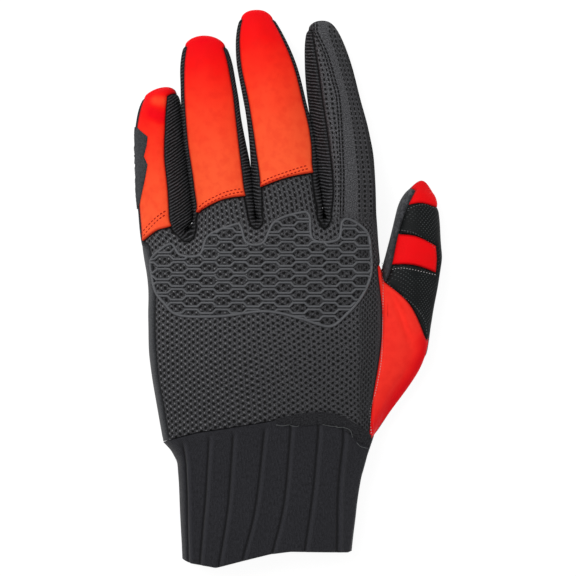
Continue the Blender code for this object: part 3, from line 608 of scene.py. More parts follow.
class Finish:
    # one material: a principled shader and the nodes that feed it
    def __init__(self, name, **fixed):
        self.material = bpy.data.materials.new(name)
        self.material.use_nodes = True
        self.tree = self.material.node_tree
        self.tree.nodes.clear()
        out = self.tree.nodes.new("ShaderNodeOutputMaterial")
        self.shader = self.tree.nodes.new("ShaderNodeBsdfPrincipled")
        self.tree.links.new(self.shader.outputs[0], out.inputs["Surface"])
        for socket, value in fixed.items():
            self.shader.inputs[socket.replace("_", " ")].default_value = value

    def node(self, kind, settings=None, sockets=None, out=0):
        # any node: settings first, then the values or links of its sockets
        made = self.tree.nodes.new(kind)
        for name, value in (settings or {}).items():
            if name == "stops":
                ramp = made.color_ramp
                while len(ramp.elements) < len(value):
                    ramp.elements.new(0.5)
                for element, (place, colour) in zip(ramp.elements, value):
                    element.position, element.color = place, (*colour, 1.0)
            else:
                setattr(made, name, value)
        for name, value in (sockets or {}).items():
            self.feed(made.inputs[name], value)
        return Wire(self, made.outputs[out])

    def feed(self, socket, value):
        # a link where the value is a wire, else the plain value
        if isinstance(value, Wire):
            self.tree.links.new(value.socket, socket)
        elif isinstance(value, tuple) and socket.type == "RGBA":
            socket.default_value = (*value[:3], 1.0)
        else:
            socket.default_value = value

    def maths(self, operation, *values):
        # one Math node
        return self.node("ShaderNodeMath", {"operation": operation}, dict(enumerate(values)))

    def least(self, first, *others):
        # smallest of several
        for other in others:
            first = self.maths("MINIMUM", first, other)
        return first

    def most(self, first, *others):
        # largest of several
        for other in others:
            first = self.maths("MAXIMUM", first, other)
        return first

    def step(self, value, low, high):
        # smooth step: 0 at low, 1 at high
        sockets = {"Value": value, "From Min": low, "From Max": high}
        return self.node("ShaderNodeMapRange", {"interpolation_type": "SMOOTHSTEP"}, sockets)

    def mix(self, share, first, second):
        # first at share 0, second at share 1
        settings = {"data_type": "RGBA", "clamp_factor": True}
        return self.node("ShaderNodeMix", settings, {0: share, 6: first, 7: second}, out=2)

    def ramp(self, share, stops):
        # colours at stops along 0 to 1
        return self.node("ShaderNodeValToRGB", {"stops": stops}, {0: share})

    def field(self, name):
        # a number set on the vertices
        return self.node("ShaderNodeAttribute", {"attribute_name": name}, out=2)

    def cloth(self):
        # the cloth's own two lengths, in millimetres
        spot = self.node("ShaderNodeUVMap", {"uv_map": "cloth"})
        parts = self.node("ShaderNodeSeparateXYZ", sockets={0: spot})
        x, y = (Wire(self, parts.socket.node.outputs[place]) for place in (0, 1))
        return x * 1000.0, y * 1000.0

    def place(self):
        # object coordinates, whole and split into x, y and z
        spot = self.node("ShaderNodeTexCoord", out=3)
        parts = self.node("ShaderNodeSeparateXYZ", sockets={0: spot})
        return spot, [Wire(self, parts.socket.node.outputs[number]) for number in range(3)]

    def vector(self, x, y, z=0.0):
        return self.node("ShaderNodeCombineXYZ", sockets={0: x, 1: y, 2: z})

    def noise(self, vector, scale, detail=2.0, rough=0.5):
        sockets = {"Vector": vector, "Scale": scale, "Detail": detail, "Roughness": rough}
        return self.node("ShaderNodeTexNoise", {"noise_dimensions": "3D"}, sockets)

    def saw(self, value):
        # distance from the nearest whole number, from -0.5 to 0.5
        return self.maths("FRACT", value + 100.5) - 0.5

    def ridge(self, value):
        # 1 on whole numbers, 0 half way between
        return self.maths("COSINE", value * (2 * np.pi)) * 0.5 + 0.5

    def bump(self, height, distance, strength):
        # the surface tilted by a height's slope
        sockets = {"Strength": strength, "Distance": distance, "Height": height}
        return self.node("ShaderNodeBump", sockets=sockets)

    def dress(self, colour=None, roughness=None, normal=None):
        # feeds the shader and gives the material back
        for name, value in (("Base Color", colour), ("Roughness", roughness), ("Normal", normal)):
            if value is not None:
                self.feed(self.shader.inputs[name], value)
        return self.material


def holePattern(f, across, along, pitch, size, tilt=0.0, shift=0.0):
    # staggered oval holes: the nearer of two shifted lattices, measured in hole sizes, 1 inside a hole
    gaps = []
    for half in (0.0, 0.5):
        dx = f.saw(across / (2 * pitch[0]) + half) * (2 * pitch[0])
        dy = f.saw(along / pitch[1] + (half + shift)) * pitch[1]
        wide, tall = (dx + dy * tilt) * (2 / size[0]), (dy - dx * tilt) * (2 / size[1])
        gaps.append(f.maths("SQRT", wide * wide + tall * tall))
    return 1.0 - f.step(f.least(*gaps), 0.72, 1.12)


# red ramps from share 0 to 1: the deepening towards 1 is painted shade where the cloth turns away from the light
redLook = {
    "stops": (
        (0.00, (1.00, 0.115, 0.034)),
        (0.28, (1.00, 0.092, 0.028)),
        (0.60, (1.00, 0.040, 0.014)),
        (0.82, (0.98, 0.006, 0.005)),
        (1.00, (0.90, 0.000, 0.006)),
    ),
    "thumb": ((0.0, (0.90, 0.003, 0.006)), (0.5, (0.86, 0.002, 0.005)), (1.0, (0.72, 0.0, 0.004))),
    "gusset": ((0.0, (1.00, 0.036, 0.022)), (0.5, (1.0, 0.020, 0.015)), (1.0, (0.80, 0.000, 0.006))),
    "roughness": 0.62,
}


def redFinish(name, stops):
    # colour by the share along the finger plus cloud noise, the deeper red at high shares being painted shade, darker
    # in blotches and at seams, over a square weave
    f = Finish(name, Sheen_Weight=0.02, Sheen_Roughness=0.5, Specular_IOR_Level=0.05)
    across, along = f.cloth()
    spot, _ = f.place()
    # painted shade: this share deepens the red towards the tips, near the gusset's edge and in the little finger's
    # dent; it is lowered above the dent as a painted highlight
    share = f.field("along")
    cloudy = f.noise(spot, 90.0, 3.0)
    share = share + (cloudy - 0.5) * 0.16
    colour = f.ramp(share, stops)
    weave = f.ridge(across / 0.42) * f.ridge(along / 0.42)
    fine = f.noise(f.vector(across, along), 3.1, 2.0)
    colour = f.mix((fine - 0.35) * 0.25, colour, (0.70, 0.012, 0.006))
    blotch = f.step(f.noise(spot, 260.0, 2.0), 0.30, 0.62)
    colour = f.mix((1.0 - blotch) * 0.22, colour, (0.80, 0.006, 0.006))
    seam = 1.0 - f.step(f.field("seam"), 0.1, 1.3)
    colour = f.mix(seam * 0.62, colour, (0.36, 0.000, 0.002))
    normal = f.bump(weave * 0.6 + fine * 0.6, 0.00006, 0.6)
    return f.dress(colour, fine * 0.2 + (redLook["roughness"] - 0.1), normal)


meshLook = {
    "pitch": (2.20, 2.60),
    "hole": (1.62, 1.30),
    "slot": (1.00, 1.90),
    "speck": (0.80, 0.75),
    "high": (0.104, 0.104, 0.112),
    "low": (0.060, 0.060, 0.066),
    "light": (0.320, 0.320, 0.330),
    "dark": (0.0035, 0.0035, 0.004),
    "hollow": (0.0004, 0.0004, 0.0005),
    "edgePitch": (1.45, 2.30),
    "edgeHole": (0.75, 1.75),
}


def meshFinish():
    # knitted mesh: rows of open holes with light knots between them, long slots near the roots and the right edge
    f = Finish("back_mesh", Specular_IOR_Level=0.25)
    across, along = f.cloth()
    spot, (x, y, z) = f.place()
    flat = f.vector(across, along)
    bend = (f.noise(flat, 0.028, 1.0) - 0.5) * 5.0
    jitter = (f.noise(flat, 0.42, 1.0) - 0.5) * 0.75
    fine, tiny = f.noise(flat, 1.9, 3.0, 0.7), f.noise(flat, 4.5, 1.0)
    column = across + along * 0.04 + bend + jitter
    row = along + bend * 0.6 - jitter
    ragged = 0.86 + fine * 0.25
    holes = holePattern(f, column, row, meshLook["pitch"], meshLook["hole"], 0.25)
    rootSlots = holePattern(f, column, row, meshLook["pitch"], meshLook["slot"])
    knots = holePattern(f, column, row, meshLook["pitch"], meshLook["speck"], 0.0, 0.5)
    slots = holePattern(f, across + jitter, along, meshLook["edgePitch"], meshLook["edgeHole"])
    fan = f.field("fan")
    index = f.step(fan, -1.12, -1.04) * f.field("index")
    edge = f.step(x, 0.0290, 0.0325) * (1.0 - index)
    roots = f.step(y, 0.022, 0.034)
    rim = f.step(f.field("border"), 2.6, 1.4) * f.step(y, -0.062, -0.040)
    openings = holes + (rootSlots - holes) * roots
    openings = (openings + (slots - openings) * edge) * (1.0 - rim * 0.75) * ragged
    # the index finger: hole columns left of its double seam, bare right of it, dashes along the right edge
    stitch = f.ridge(along / 2.1 + jitter * 0.3)
    leftRows = f.step(f.ridge(fan / 0.36 + 0.05), 0.45, 0.85) * f.step(stitch, 0.35, 0.70)
    leftRows = leftRows * f.step(fan, -0.16, -0.24)
    rightRows = f.step(f.ridge(fan / 0.17 + 0.10 + jitter * 0.12), 0.50, 0.95) * f.step(stitch, 0.20, 0.6)
    rightRows = rightRows * f.step(fan, 0.44, 0.50)
    seamLine = f.field("indexLine")
    lines = f.most(*(1.0 - f.step(f.maths("ABSOLUTE", seamLine - side), 0.18, 0.46) for side in (-0.62, 0.68)))
    lines = lines * (0.40 + f.step(f.ridge(along / 1.7), 0.12, 0.45) * 0.60)
    banks = (1.0 - f.step(f.maths("ABSOLUTE", seamLine), 0.9, 1.7)) * index * 0.8
    openings = openings + (f.most(leftRows, rightRows, lines) - openings) * index
    base = f.mix(f.step(y, -0.060, 0.025), meshLook["low"], meshLook["high"])
    base = f.mix(f.step(fine, 0.38, 0.58) * 0.80, base, meshLook["dark"])
    # painted shade: the mesh inside the knuckle guard, between its ribs, darkened
    base = f.mix(f.field("guarded") * 0.42, base, meshLook["dark"])
    speckle = knots * (0.15 + 0.52 * f.step(x, 0.020, -0.045)) * (1.0 - f.most(edge, index)) * f.step(tiny, 0.30, 0.55)
    base = f.mix(speckle, base, meshLook["light"])
    bright = f.step(tiny, 0.56, 0.76) * (0.42 + index * f.step(fan, 0.0, -0.2) * 0.25)
    base = f.mix(bright, base, meshLook["light"])
    ribs = f.ridge(across / 1.45) * edge
    base = f.mix((1.0 - ribs) * edge * 0.45, base, meshLook["dark"])
    base = f.mix((1.0 - f.ridge(column / 1.1)) * roots * (1.0 - f.most(edge, index)) * 0.40, base, meshLook["dark"])
    outer = (1.0 - f.ridge(fan / 0.17 + 0.10)) * index * f.step(fan, 0.44, 0.50) * 0.5
    base = f.mix(outer, base, meshLook["dark"])
    base = f.mix(index * f.step(fan, 0.86, 0.93) * 0.55, base, meshLook["dark"])
    colour = f.mix(openings, base, meshLook["hollow"])
    seam = 1.0 - f.step(f.field("seam"), 0.2, 1.5)
    colour = f.mix(seam * 0.8, colour, (0.003, 0.003, 0.004))
    height = (1.0 - openings) + fine * 0.45 + knots * 0.35 + banks * 0.25
    return f.dress(colour, 0.70 + fine * 0.2, f.bump(height, 0.00045, 1.0))


def knitFinish():
    # thin ribs of short loops; on the little finger's side they climb to the right
    f = Finish("side_knit", Specular_IOR_Level=0.2)
    spot, (x, y, z) = f.place()
    sway = (f.noise(spot, 130.0, 1.0) - 0.5) * 0.0014
    ragged = (f.noise(spot, 1500.0, 2.0, 0.6) - 0.5) * 0.0007
    left = f.step(x, -0.018, -0.036)
    climb = (y - x * left * 0.55 + z * 0.15 + sway + ragged) / 0.00138
    slope = f.ridge(climb)
    yarn = f.ridge((x - z) / 0.00062 + climb * 0.5)
    fine = f.noise(spot, 2600.0, 2.0, 0.65)
    light = f.step(slope, 0.55, 0.98) * (0.25 + yarn * 0.30 + f.step(fine, 0.35, 0.65) * 0.75)
    colour = f.mix(light, (0.0008, 0.0008, 0.0010), (0.085, 0.085, 0.092))
    edge = 1.0 - f.step(f.field("seam"), 0.7, 2.0)
    colour = f.mix(edge * (0.15 + f.step(fine, 0.45, 0.7) * 0.5), colour, (0.030, 0.030, 0.033))
    seam = 1.0 - f.step(f.field("seam"), 0.15, 0.8)
    colour = f.mix(seam * 0.85, colour, (0.002, 0.002, 0.002))
    return f.dress(colour, 0.80, f.bump(slope + yarn * 0.35 + fine * 0.4, 0.00022, 0.8))


def suedeFinish():
    # nap: two greys by fine noise, clouded, with coarse pale specks towards the thumb
    f = Finish("suede", Sheen_Weight=0.10, Sheen_Roughness=0.6, Specular_IOR_Level=0.15)
    spot, (x, y, z) = f.place()
    nap = f.noise(spot, 1700.0, 3.0, 0.7)
    cloudy = f.noise(spot, 55.0, 3.0)
    coarse = f.noise(spot, 620.0, 2.0, 0.6)
    speck = f.step(coarse, 0.46, 0.66) * f.step(x, 0.030, 0.050)
    colour = f.mix(f.step(nap, 0.32, 0.72), (0.014, 0.015, 0.017), (0.068, 0.071, 0.078))
    colour = f.mix(speck * 0.75, colour, (0.105, 0.108, 0.118))
    colour = f.mix(cloudy * 0.45, colour, (0.024, 0.025, 0.028))
    seam = 1.0 - f.step(f.field("seam"), 0.2, 1.5)
    colour = f.mix(seam * 0.6, colour, (0.004, 0.004, 0.005))
    return f.dress(colour, 0.88 + nap * 0.1, f.bump(nap, 0.00014, 0.8))


def piercedFinish():
    # black skin with curved rows of tiny pale pinholes
    f = Finish("perforated", Specular_IOR_Level=0.14)
    across, along = f.cloth()
    side = across - 66.0
    row = along + side * side * 0.018
    dots = holePattern(f, across, row, (1.00, 1.80), (0.66, 0.50))
    grain = f.noise(f.vector(across, along), 3.0, 3.0, 0.6)
    faint = f.step(f.noise(f.vector(across, along), 0.12, 1.0), 0.30, 0.62)
    colour = f.mix(dots * (0.06 + faint * 0.62), (0.0040, 0.0052, 0.0054), (0.085, 0.092, 0.094))
    colour = f.mix(f.step(grain, 0.4, 0.8) * 0.35, colour, (0.016, 0.018, 0.018))
    seam = 1.0 - f.step(f.field("seam"), 0.2, 1.2)
    colour = f.mix(seam * 0.7, colour, (0.002, 0.002, 0.002))
    return f.dress(colour, 0.48 + grain * 0.25, f.bump(grain * 0.4 - dots, 0.00015, 0.8))


def rubberFinish():
    # two greys by cloud noise under a fine satin grain
    f = Finish("guard_rubber", Specular_IOR_Level=0.4)
    spot, _ = f.place()
    grain = f.noise(spot, 2500.0, 2.0)
    cloudy = f.noise(spot, 120.0, 2.0)
    colour = f.mix(cloudy, (0.068, 0.070, 0.076), (0.105, 0.107, 0.115))
    return f.dress(colour, 0.42 + grain * 0.2, f.bump(grain, 0.00004, 0.5))


def cuffFinish():
    # rib lines across and loops along, with painted shade in the grooves and a painted highlight on the bead beside
    # each
    f = Finish("rib_knit", Sheen_Weight=0.1, Specular_IOR_Level=0.2)
    across, along = f.cloth()
    lines = f.ridge(across / 0.62)
    loops = f.ridge(along / 0.5 + f.ridge(across / 0.62) * 0.5)
    flat = f.vector(across, along * 0.4)
    fine = f.noise(flat, 1.5, 3.0, 0.8)
    tiny = f.noise(f.vector(across, along), 3.2, 1.0)
    broad = f.noise(flat, 0.10, 2.0)
    colour = f.mix(lines * 0.35 + f.step(fine, 0.30, 0.66) * 0.65, (0.0035, 0.0035, 0.0050), (0.028, 0.028, 0.034))
    colour = f.mix(f.step(tiny, 0.56, 0.76) * 0.55, colour, (0.075, 0.075, 0.088))
    colour = f.mix((1.0 - broad) * 0.35, colour, (0.006, 0.006, 0.008))
    # painted shade in the grooves, then a painted highlight on the beads
    groove = f.step(f.field("groove"), 0.10, 0.95)
    colour = f.mix(groove * 0.70, colour, (0.0018, 0.0018, 0.0025))
    colour = f.mix(f.step(f.field("bead"), 0.1, 1.0) * 0.30, colour, (0.045, 0.045, 0.054))
    return f.dress(colour, 0.82, f.bump(lines * 0.6 + loops * 0.4 + fine * 0.8, 0.00020, 0.8))


def threadFinish(name, colour):
    # the colour and 0.6 of it, mixed by a twist of noise
    f = Finish(name, Specular_IOR_Level=0.08)
    spot, _ = f.place()
    twist = f.noise(spot, 3000.0, 1.0)
    return f.dress(f.mix(twist, tuple(0.6 * part for part in colour), colour), 0.6, f.bump(twist, 0.00005, 0.6))


finishes = {
    "red": redFinish("red_stretch", redLook["stops"]),
    "redThumb": redFinish("red_stretch_thumb", redLook["thumb"]),
    "redGusset": redFinish("red_stretch_gusset", redLook["gusset"]),
    "mesh": meshFinish(),
    "knit": knitFinish(),
    "suede": suedeFinish(),
    "pierced": piercedFinish(),
    "rubber": rubberFinish(),
    "cuff": cuffFinish(),
    "threadRed": threadFinish("thread_red", (0.42, 0.003, 0.002)),
    "threadPale": threadFinish("thread_pale", (0.55, 0.52, 0.52)),
    "threadDark": threadFinish("thread_dark", (0.006, 0.006, 0.007)),
    "threadGrey": threadFinish("thread_grey", (0.16, 0.17, 0.17)),
}
print("finishes ready")

# the sewn panels
sewing = {
    "sink": 0.50 * mm,
    "sinkWidth": 1.0 * mm,
    "hemLift": 0.55 * mm,
    "hemWidth": 2.6 * mm,
    "pull": 0.06 * mm,
    "uneven": 0.16 * mm,
    "walls": {"palm": 1.4, "back_panel": 1.3},
    "wall": 1.1,
}
panelPlan = {
    "palm": ("suede", "suede"),
    "back_panel": ("mesh", "back_mesh"),
    "finger_back_little": ("red", "red_stretch"),
    "finger_back_ring": ("red", "red_stretch"),
    "finger_back_middle": ("red", "red_stretch"),
    "fourchette_little_ring": ("knit", "black_knit"),
    "fourchette_ring_middle": ("knit", "black_knit"),
    "fourchette_middle_index": ("knit", "black_knit"),
    "thumb_gusset": ("redGusset", "red_stretch"),
    "thumb_panel": ("pierced", "perforated"),
    "thumb_band": ("redThumb", "red_stretch"),
    "thumb_tip": ("redThumb", "red_stretch"),
}
folds = (
    # panel, line on the photo square, depth, width
    ("thumb_gusset", ((388, 288), (399, 310), (411, 343)), -1.3 * mm, 1.7 * mm),
    ("thumb_gusset", ((394, 288), (407, 312), (416, 342)), 0.7 * mm, 2.2 * mm),
    ("thumb_gusset", ((384, 300), (396, 326), (402, 350)), 0.5 * mm, 2.5 * mm),
    ("thumb_gusset", ((414, 360), (398, 386), (382, 412)), -0.5 * mm, 1.8 * mm),
    ("finger_back_little", ((154, 117), (166, 113)), -0.8 * mm, 3.2 * mm),
    ("finger_back_little", ((142, 104), (166, 101)), 0.4 * mm, 3.0 * mm),
)


guard = {
    "outline": (
        (153, 258), (171, 244), (181, 255), (200, 255), (209, 236), (235, 225), (241, 227), (247, 243), (263, 243),
        (275, 222), (300, 213), (309, 216), (313, 240), (337, 240), (342, 222), (350, 220), (366, 232), (370, 250),
        (370, 275), (360, 298), (340, 320), (330, 326), (318, 324), (300, 318), (265, 311), (220, 316), (180, 315),
        (165, 303), (157, 292), (153, 275),
    ),
    "cell": (256.6, 247.5),
    "pitch": 15.2,
    "row": 6.7,
    "swing": 1.85,
    "ramp": 3.7,
    "lean": 0.06,
    "ribWidth": 1.18 * mm,
    "ribHeight": 1.00 * mm,
    "edgeWidth": 1.30 * mm,
    "edgeHeight": 0.95 * mm,
    "foot": 0.35 * mm,
}


def insideLoop(points, loop):
    # even-odd test of points against a closed outline
    a, b = loop, np.roll(loop, -1, axis=0)
    x, y = points[:, None, 0], points[:, None, 1]
    cross = (a[:, 1] > y) != (b[:, 1] > y)
    rise = np.where(np.abs(b[:, 1] - a[:, 1]) < 1e-12, 1e-12, b[:, 1] - a[:, 1])
    meets = a[:, 0] + (y - a[:, 1]) / rise * (b[:, 0] - a[:, 0])
    return ((cross & (x < meets)).sum(axis=1) % 2) == 1


meshLines = {
    "index": ((315.5, 31), (325.7, 53), (334, 82), (338.5, 104), (341.7, 163), (342, 184), (341.7, 211)),
    "left": (
        (306, 31), (309.8, 37), (313.6, 48), (316.8, 61), (320.6, 74),
        (322.5, 105.7), (329.5, 134), (333, 169), (333, 196), (331.4, 215),
    ),
    "right": (
        (344, 40), (357, 88), (369, 136), (376, 184), (377.5, 232),
        (382, 262), (382, 329), (380, 362), (374, 393), (369, 410),
    ),
}


def borderPull(points, faces):
    # for border points: the way into the panel, along its surface
    edges, owner = borderOf(faces)
    centre = points[faces].mean(axis=1)
    way = np.zeros_like(points)
    tangent = unit(points[edges[:, 1]] - points[edges[:, 0]])
    inward = centre[owner] - points[edges[:, 0]]
    inward = unit(inward - tangent * (inward * tangent).sum(axis=1, keepdims=True))
    np.add.at(way, edges[:, 0], inward)
    np.add.at(way, edges[:, 1], inward)
    return unit(way), np.unique(edges)


def flatSize(points, faces, slices=24):
    # cut into slices along y: girth = slice's area / its path length, so width = widest girth, length = all paths
    areas = np.linalg.norm(faceNormals(points, faces), axis=1) / 2
    centre = points[faces].mean(axis=1)
    cuts = np.linspace(points[:, 1].min(), points[:, 1].max(), slices + 1)
    place = np.clip(np.searchsorted(cuts, centre[:, 1]) - 1, 0, slices - 1)
    area = np.bincount(place, areas, slices)
    height = np.bincount(place, areas * centre[:, 2], slices) / np.maximum(area, 1e-12)
    path = np.hypot(cuts[1] - cuts[0], np.gradient(height))
    return float((area / path).max()), float(path.sum()), float(area.sum())


def sewPanel(name):
    # outer surface = skin + normal * (soft unevenness - seam valley + hem + folds), then a wall inside it
    finish, slot = panelPlan[name]
    faces = skinFaces[skinPanels == panelOf[name]]
    used, faces = np.unique(faces, return_inverse=True)
    faces = faces.reshape(-1, 4)
    points, normals = pressedSkin[used], skinNormals[used]
    way, border = borderPull(points, faces)
    gap = nearest(points, points[border], 1)[1][:, 0]
    wrist = np.isin(used, wristRing)
    others = np.unique(skinFaces[skinPanels == panelOf["back_panel"]])
    lift = sewing["uneven"] * wave(points, 34 * mm, 5) + 0.5 * sewing["uneven"] * wave(points, 13 * mm, 6)
    red = name.startswith("finger_back")
    if red:
        hem = points[np.isin(used, others)]
        toHem = nearest(points, hem, 1)[1][:, 0]
        # painted shade: the share rises from the hem to the tip, deepening the red there
        share = np.clip((points[:, 1] - hem[:, 1].mean()) / (points[:, 1].max() - hem[:, 1].mean()), 0, 1)
        away = np.clip(toHem / (2 * mm), 0, 1)
        lift += sewing["hemLift"] * bell(toHem, sewing["hemWidth"]) - 0.3 * mm * bell(gap, 0.9 * mm) * away
    else:
        depth = sewing["sink"] * bell(gap, sewing["sinkWidth"]) * np.where(wrist, 0.2, 1.0)
        near = 0.0 if name == "back_panel" else besideValley(points)
        lift = (lift - depth) * (1.0 - near) + 0.03 * mm * near
        share = np.zeros(len(points))
        if name == "back_panel":
            hems = np.unique(skinFaces[np.isin(skinPanels, (2, 3, 4))])
            hem = points[np.isin(used, hems)]
            lift -= 0.35 * mm * bell(nearest(points, hem, 1)[1][:, 0], 1.5 * mm)
    if name == "finger_back_little":
        # painted shade in the little finger's dent and a painted highlight on the patch above it, through the red's
        # share
        dentShade = bell(toLine(points[:, :2], atPhoto(((153, 113), (160, 117), (167, 116))))[0], 2.2 * mm)
        pale = bell(toLine(points[:, :2], atPhoto(((156, 100), (166, 101))))[0], 2.4 * mm)
        share = np.clip(share + 0.35 * dentShade - 0.42 * pale, 0, 1)
    if name == "thumb_tip":
        # painted shade: the thumb tip's red deepens towards its end
        share = np.clip((points[:, 1] - points[:, 1].min()) / np.ptp(points[:, 1]), 0, 1)
    if name == "thumb_gusset":
        # painted shade: the gusset's red deepens near this edge
        edgeLine = atPhoto(((427, 340), (425, 354), (415, 376), (395, 403), (374, 432)))
        share = bell(toLine(points[:, :2], edgeLine)[0], 5 * mm)
    for panel, line, depth, width in folds:
        if panel == name:
            away, reach = toLine(points[:, :2], roundLine(atPhoto(line), 1 * mm))
            lift += depth * bell(away, width) * np.sin(np.pi * np.clip(reach, 0.02, 0.98)) ** 0.5
    shaped = points + normals * lift[:, None]
    shaped[border] += way[border] * sewing["pull"]
    shaped[:, 2] = np.maximum(shaped[:, 2], 0.0)
    obj = addMesh("panel_" + name, shaped, faces, finishes[finish])
    setCloth(obj, clothLengths(points))
    setField(obj, "seam", np.where(wrist, 4.0, gap / mm))
    # the red finishes read this share as painted shade
    setField(obj, "along", share)
    if name == "back_panel":
        line = roundLine(atPhoto(meshLines["index"]), 1 * mm)[::-1]
        side = points[:, 0] - np.interp(points[:, 1], line[:, 1], line[:, 0])
        past = np.maximum(line[0, 1] - points[:, 1], 0.0) / mm
        setField(obj, "indexLine", np.clip(side / mm, -20, 20))
        right = atPhoto(meshLines["right"])
        leftSeam = atPhoto(meshLines["left"])[::-1]
        leftX = np.interp(points[:, 1], leftSeam[:, 1], leftSeam[:, 0])
        rightX = np.interp(points[:, 1], right[::-1, 1], right[::-1, 0])
        reach = np.where(side < 0, points[:, 0] - side - leftX, rightX - points[:, 0] + side)
        fan = side / np.maximum(np.abs(reach), 1 * mm)
        setField(obj, "fan", np.clip(fan, -1.6, 1.2))
        setField(obj, "index", np.clip(1.0 - past / 6, 0, 1))
        # painted shade field: 1 inside the guard's outline, fading to 0 towards its rim
        loop = atPhoto(guard["outline"])
        inner = insideLoop(points[:, :2], roundLine(loop, 1 * mm, closed=True)[:-1])
        rimGap = toLine(points[:, :2], np.vstack((loop, loop[:1])))[0]
        setField(obj, "guarded", inner * np.clip(rimGap / (1.2 * mm), 0, 1))
        setField(obj, "border", np.minimum(toLine(points[:, :2], right)[0] / mm, 20))
    wall = obj.modifiers.new("wall", "SOLIDIFY")
    wall.thickness = sewing["walls"].get(name, sewing["wall"]) * mm
    wall.offset = -1.0
    wall.use_even_offset = False
    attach(obj, "root")
    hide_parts(name)
    return obj, shaped, faces


pressedSkin = pressValleys(skinPoints)
sewn = {name: sewPanel(name) for name in panelNames}
print("panels sewn")


def topCloth(names, lowest):
    # points and normals of the named panels where they face up
    spots, ways = [], []
    for name in names:
        _, points, faces = sewn[name]
        normals = pointNormals(points, faces)
        up = normals[:, 2] > lowest
        spots.append(points[up])
        ways.append(normals[up])
    return np.vstack(spots), np.vstack(ways)


def onTop(places, cloth, lift=0.0):
    # from above: height and normal from the four nearest cloth points, each by its own tangent plane
    spots, ways = cloth
    pick, gap = nearest(places, spots[:, :2], 4)
    weight = 1.0 / np.maximum(gap, 1e-6) ** 2
    weight /= weight.sum(axis=1, keepdims=True)
    near, normal = spots[pick], ways[pick]
    away = places[:, None] - near[..., :2]
    height = near[..., 2] - (normal[..., :2] * away).sum(axis=2) / normal[..., 2]
    height = (height * weight).sum(axis=1)
    way = unit((normal * weight[..., None]).sum(axis=1))
    return np.column_stack((places, height)) + way * np.reshape(lift, (-1, 1)), way


def onSkin(places, cloth, lift):
    # from any side: the nearest cloth's tangent planes
    spots, ways = cloth
    pick, gap = nearest(places, spots, 4)
    weight = 1.0 / np.maximum(gap, 1e-6) ** 2
    weight /= weight.sum(axis=1, keepdims=True)
    near, normal = spots[pick], ways[pick]
    way = unit((normal * weight[..., None]).sum(axis=1))
    off = ((places[:, None] - near) * normal).sum(axis=2)
    off = (off * weight).sum(axis=1)
    return places - way * (off - lift)[:, None], way


def carry(profile, path, up, closed=False):
    # a closed outline (side, height) carried along a path whose top faces up
    if closed:
        tangent = unit(np.roll(path, -1, axis=0) - np.roll(path, 1, axis=0))
    else:
        tangent = unit(np.gradient(path, axis=0))
    side = unit(np.cross(tangent, up))
    count, rows = len(profile), len(path)
    points = path[:, None] + side[:, None] * profile[:, 0:1] + up[:, None] * profile[:, 1:2]
    points = points.reshape(-1, 3)
    if closed:
        ids = np.vstack((np.arange(rows * count).reshape(rows, count), np.arange(count)))
        ids = np.column_stack((ids, ids[:, 0]))
        quads = np.stack((ids[:-1, :-1], ids[1:, :-1], ids[1:, 1:], ids[:-1, 1:]), axis=-1).reshape(-1, 4)
        return points, quads, None
    quads = gridFaces(rows, count, closed=True, flip=True)
    caps = np.array((np.arange(count), (rows - 1) * count + np.arange(count)[::-1]))
    return points, quads, caps


def joined(name, parts, material):
    # several carried profiles as one mesh
    points, quads, caps, start = [], [], [], 0
    for some, four, ends in parts:
        points.append(some)
        quads.append(four + start)
        if ends is not None:
            caps.append(ends + start)
        start += len(some)
    faces = [np.vstack(quads)]
    if caps:
        faces.append(np.vstack(caps))
    return addMesh(name, np.vstack(points), faces, material)


def halfRound(width, height, count, foot):
    # a half ellipse over a flat foot, anticlockwise seen along the path
    turn = np.linspace(0, np.pi, count)
    return np.column_stack((np.cos(turn) * width / 2, np.sin(turn) ** 0.65 * (height + foot) - foot))


def guardRib(number, columns):
    # one rib: flats swinging up and down from column to column, joined by short ramps
    even = (number + columns) % 2 == 0
    level = (number - 0.5) * guard["row"] + np.where(even, -guard["swing"], guard["swing"])
    start = (columns - 0.5) * guard["pitch"]
    x = np.column_stack((start + guard["ramp"] / 2, start + guard["pitch"] - guard["ramp"] / 2)).ravel()
    y = np.repeat(level, 2)
    return np.column_stack((x - guard["lean"] * y, y)) + guard["cell"]


def buildGuard():
    # ribs and border: half-round cords carried over the back of the hand
    cloth = topCloth(("back_panel",), 0.3)
    loop = roundLine(atPhoto(guard["outline"]), 0.35 * mm, closed=True)[:-1]
    parts = []
    profile = halfRound(guard["ribWidth"], guard["ribHeight"], 7, guard["foot"])
    for number in range(-8, 14):
        rib = guardRib(number, np.arange(-9, 10))
        line = roundLine(atPhoto(alongLine(rib, 1.2)), 0.30 * mm)
        inside = insideLoop(line, loop).astype(int)
        turns = np.flatnonzero(np.diff(np.concatenate(([0], inside, [0]))))
        for start, end in turns.reshape(-1, 2):
            if end - start > 5:
                path, up = onTop(line[start:end], cloth)
                parts.append(carry(profile, path, up))
    path, up = onTop(loop, cloth)
    border = carry(halfRound(guard["edgeWidth"], guard["edgeHeight"], 9, guard["foot"]), path, up, closed=True)
    parts.append(border)
    obj = joined("guard_ribs", parts, finishes["rubber"])
    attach(obj, "root")
    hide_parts("knuckle_guard")


buildGuard()
print("guard laid")


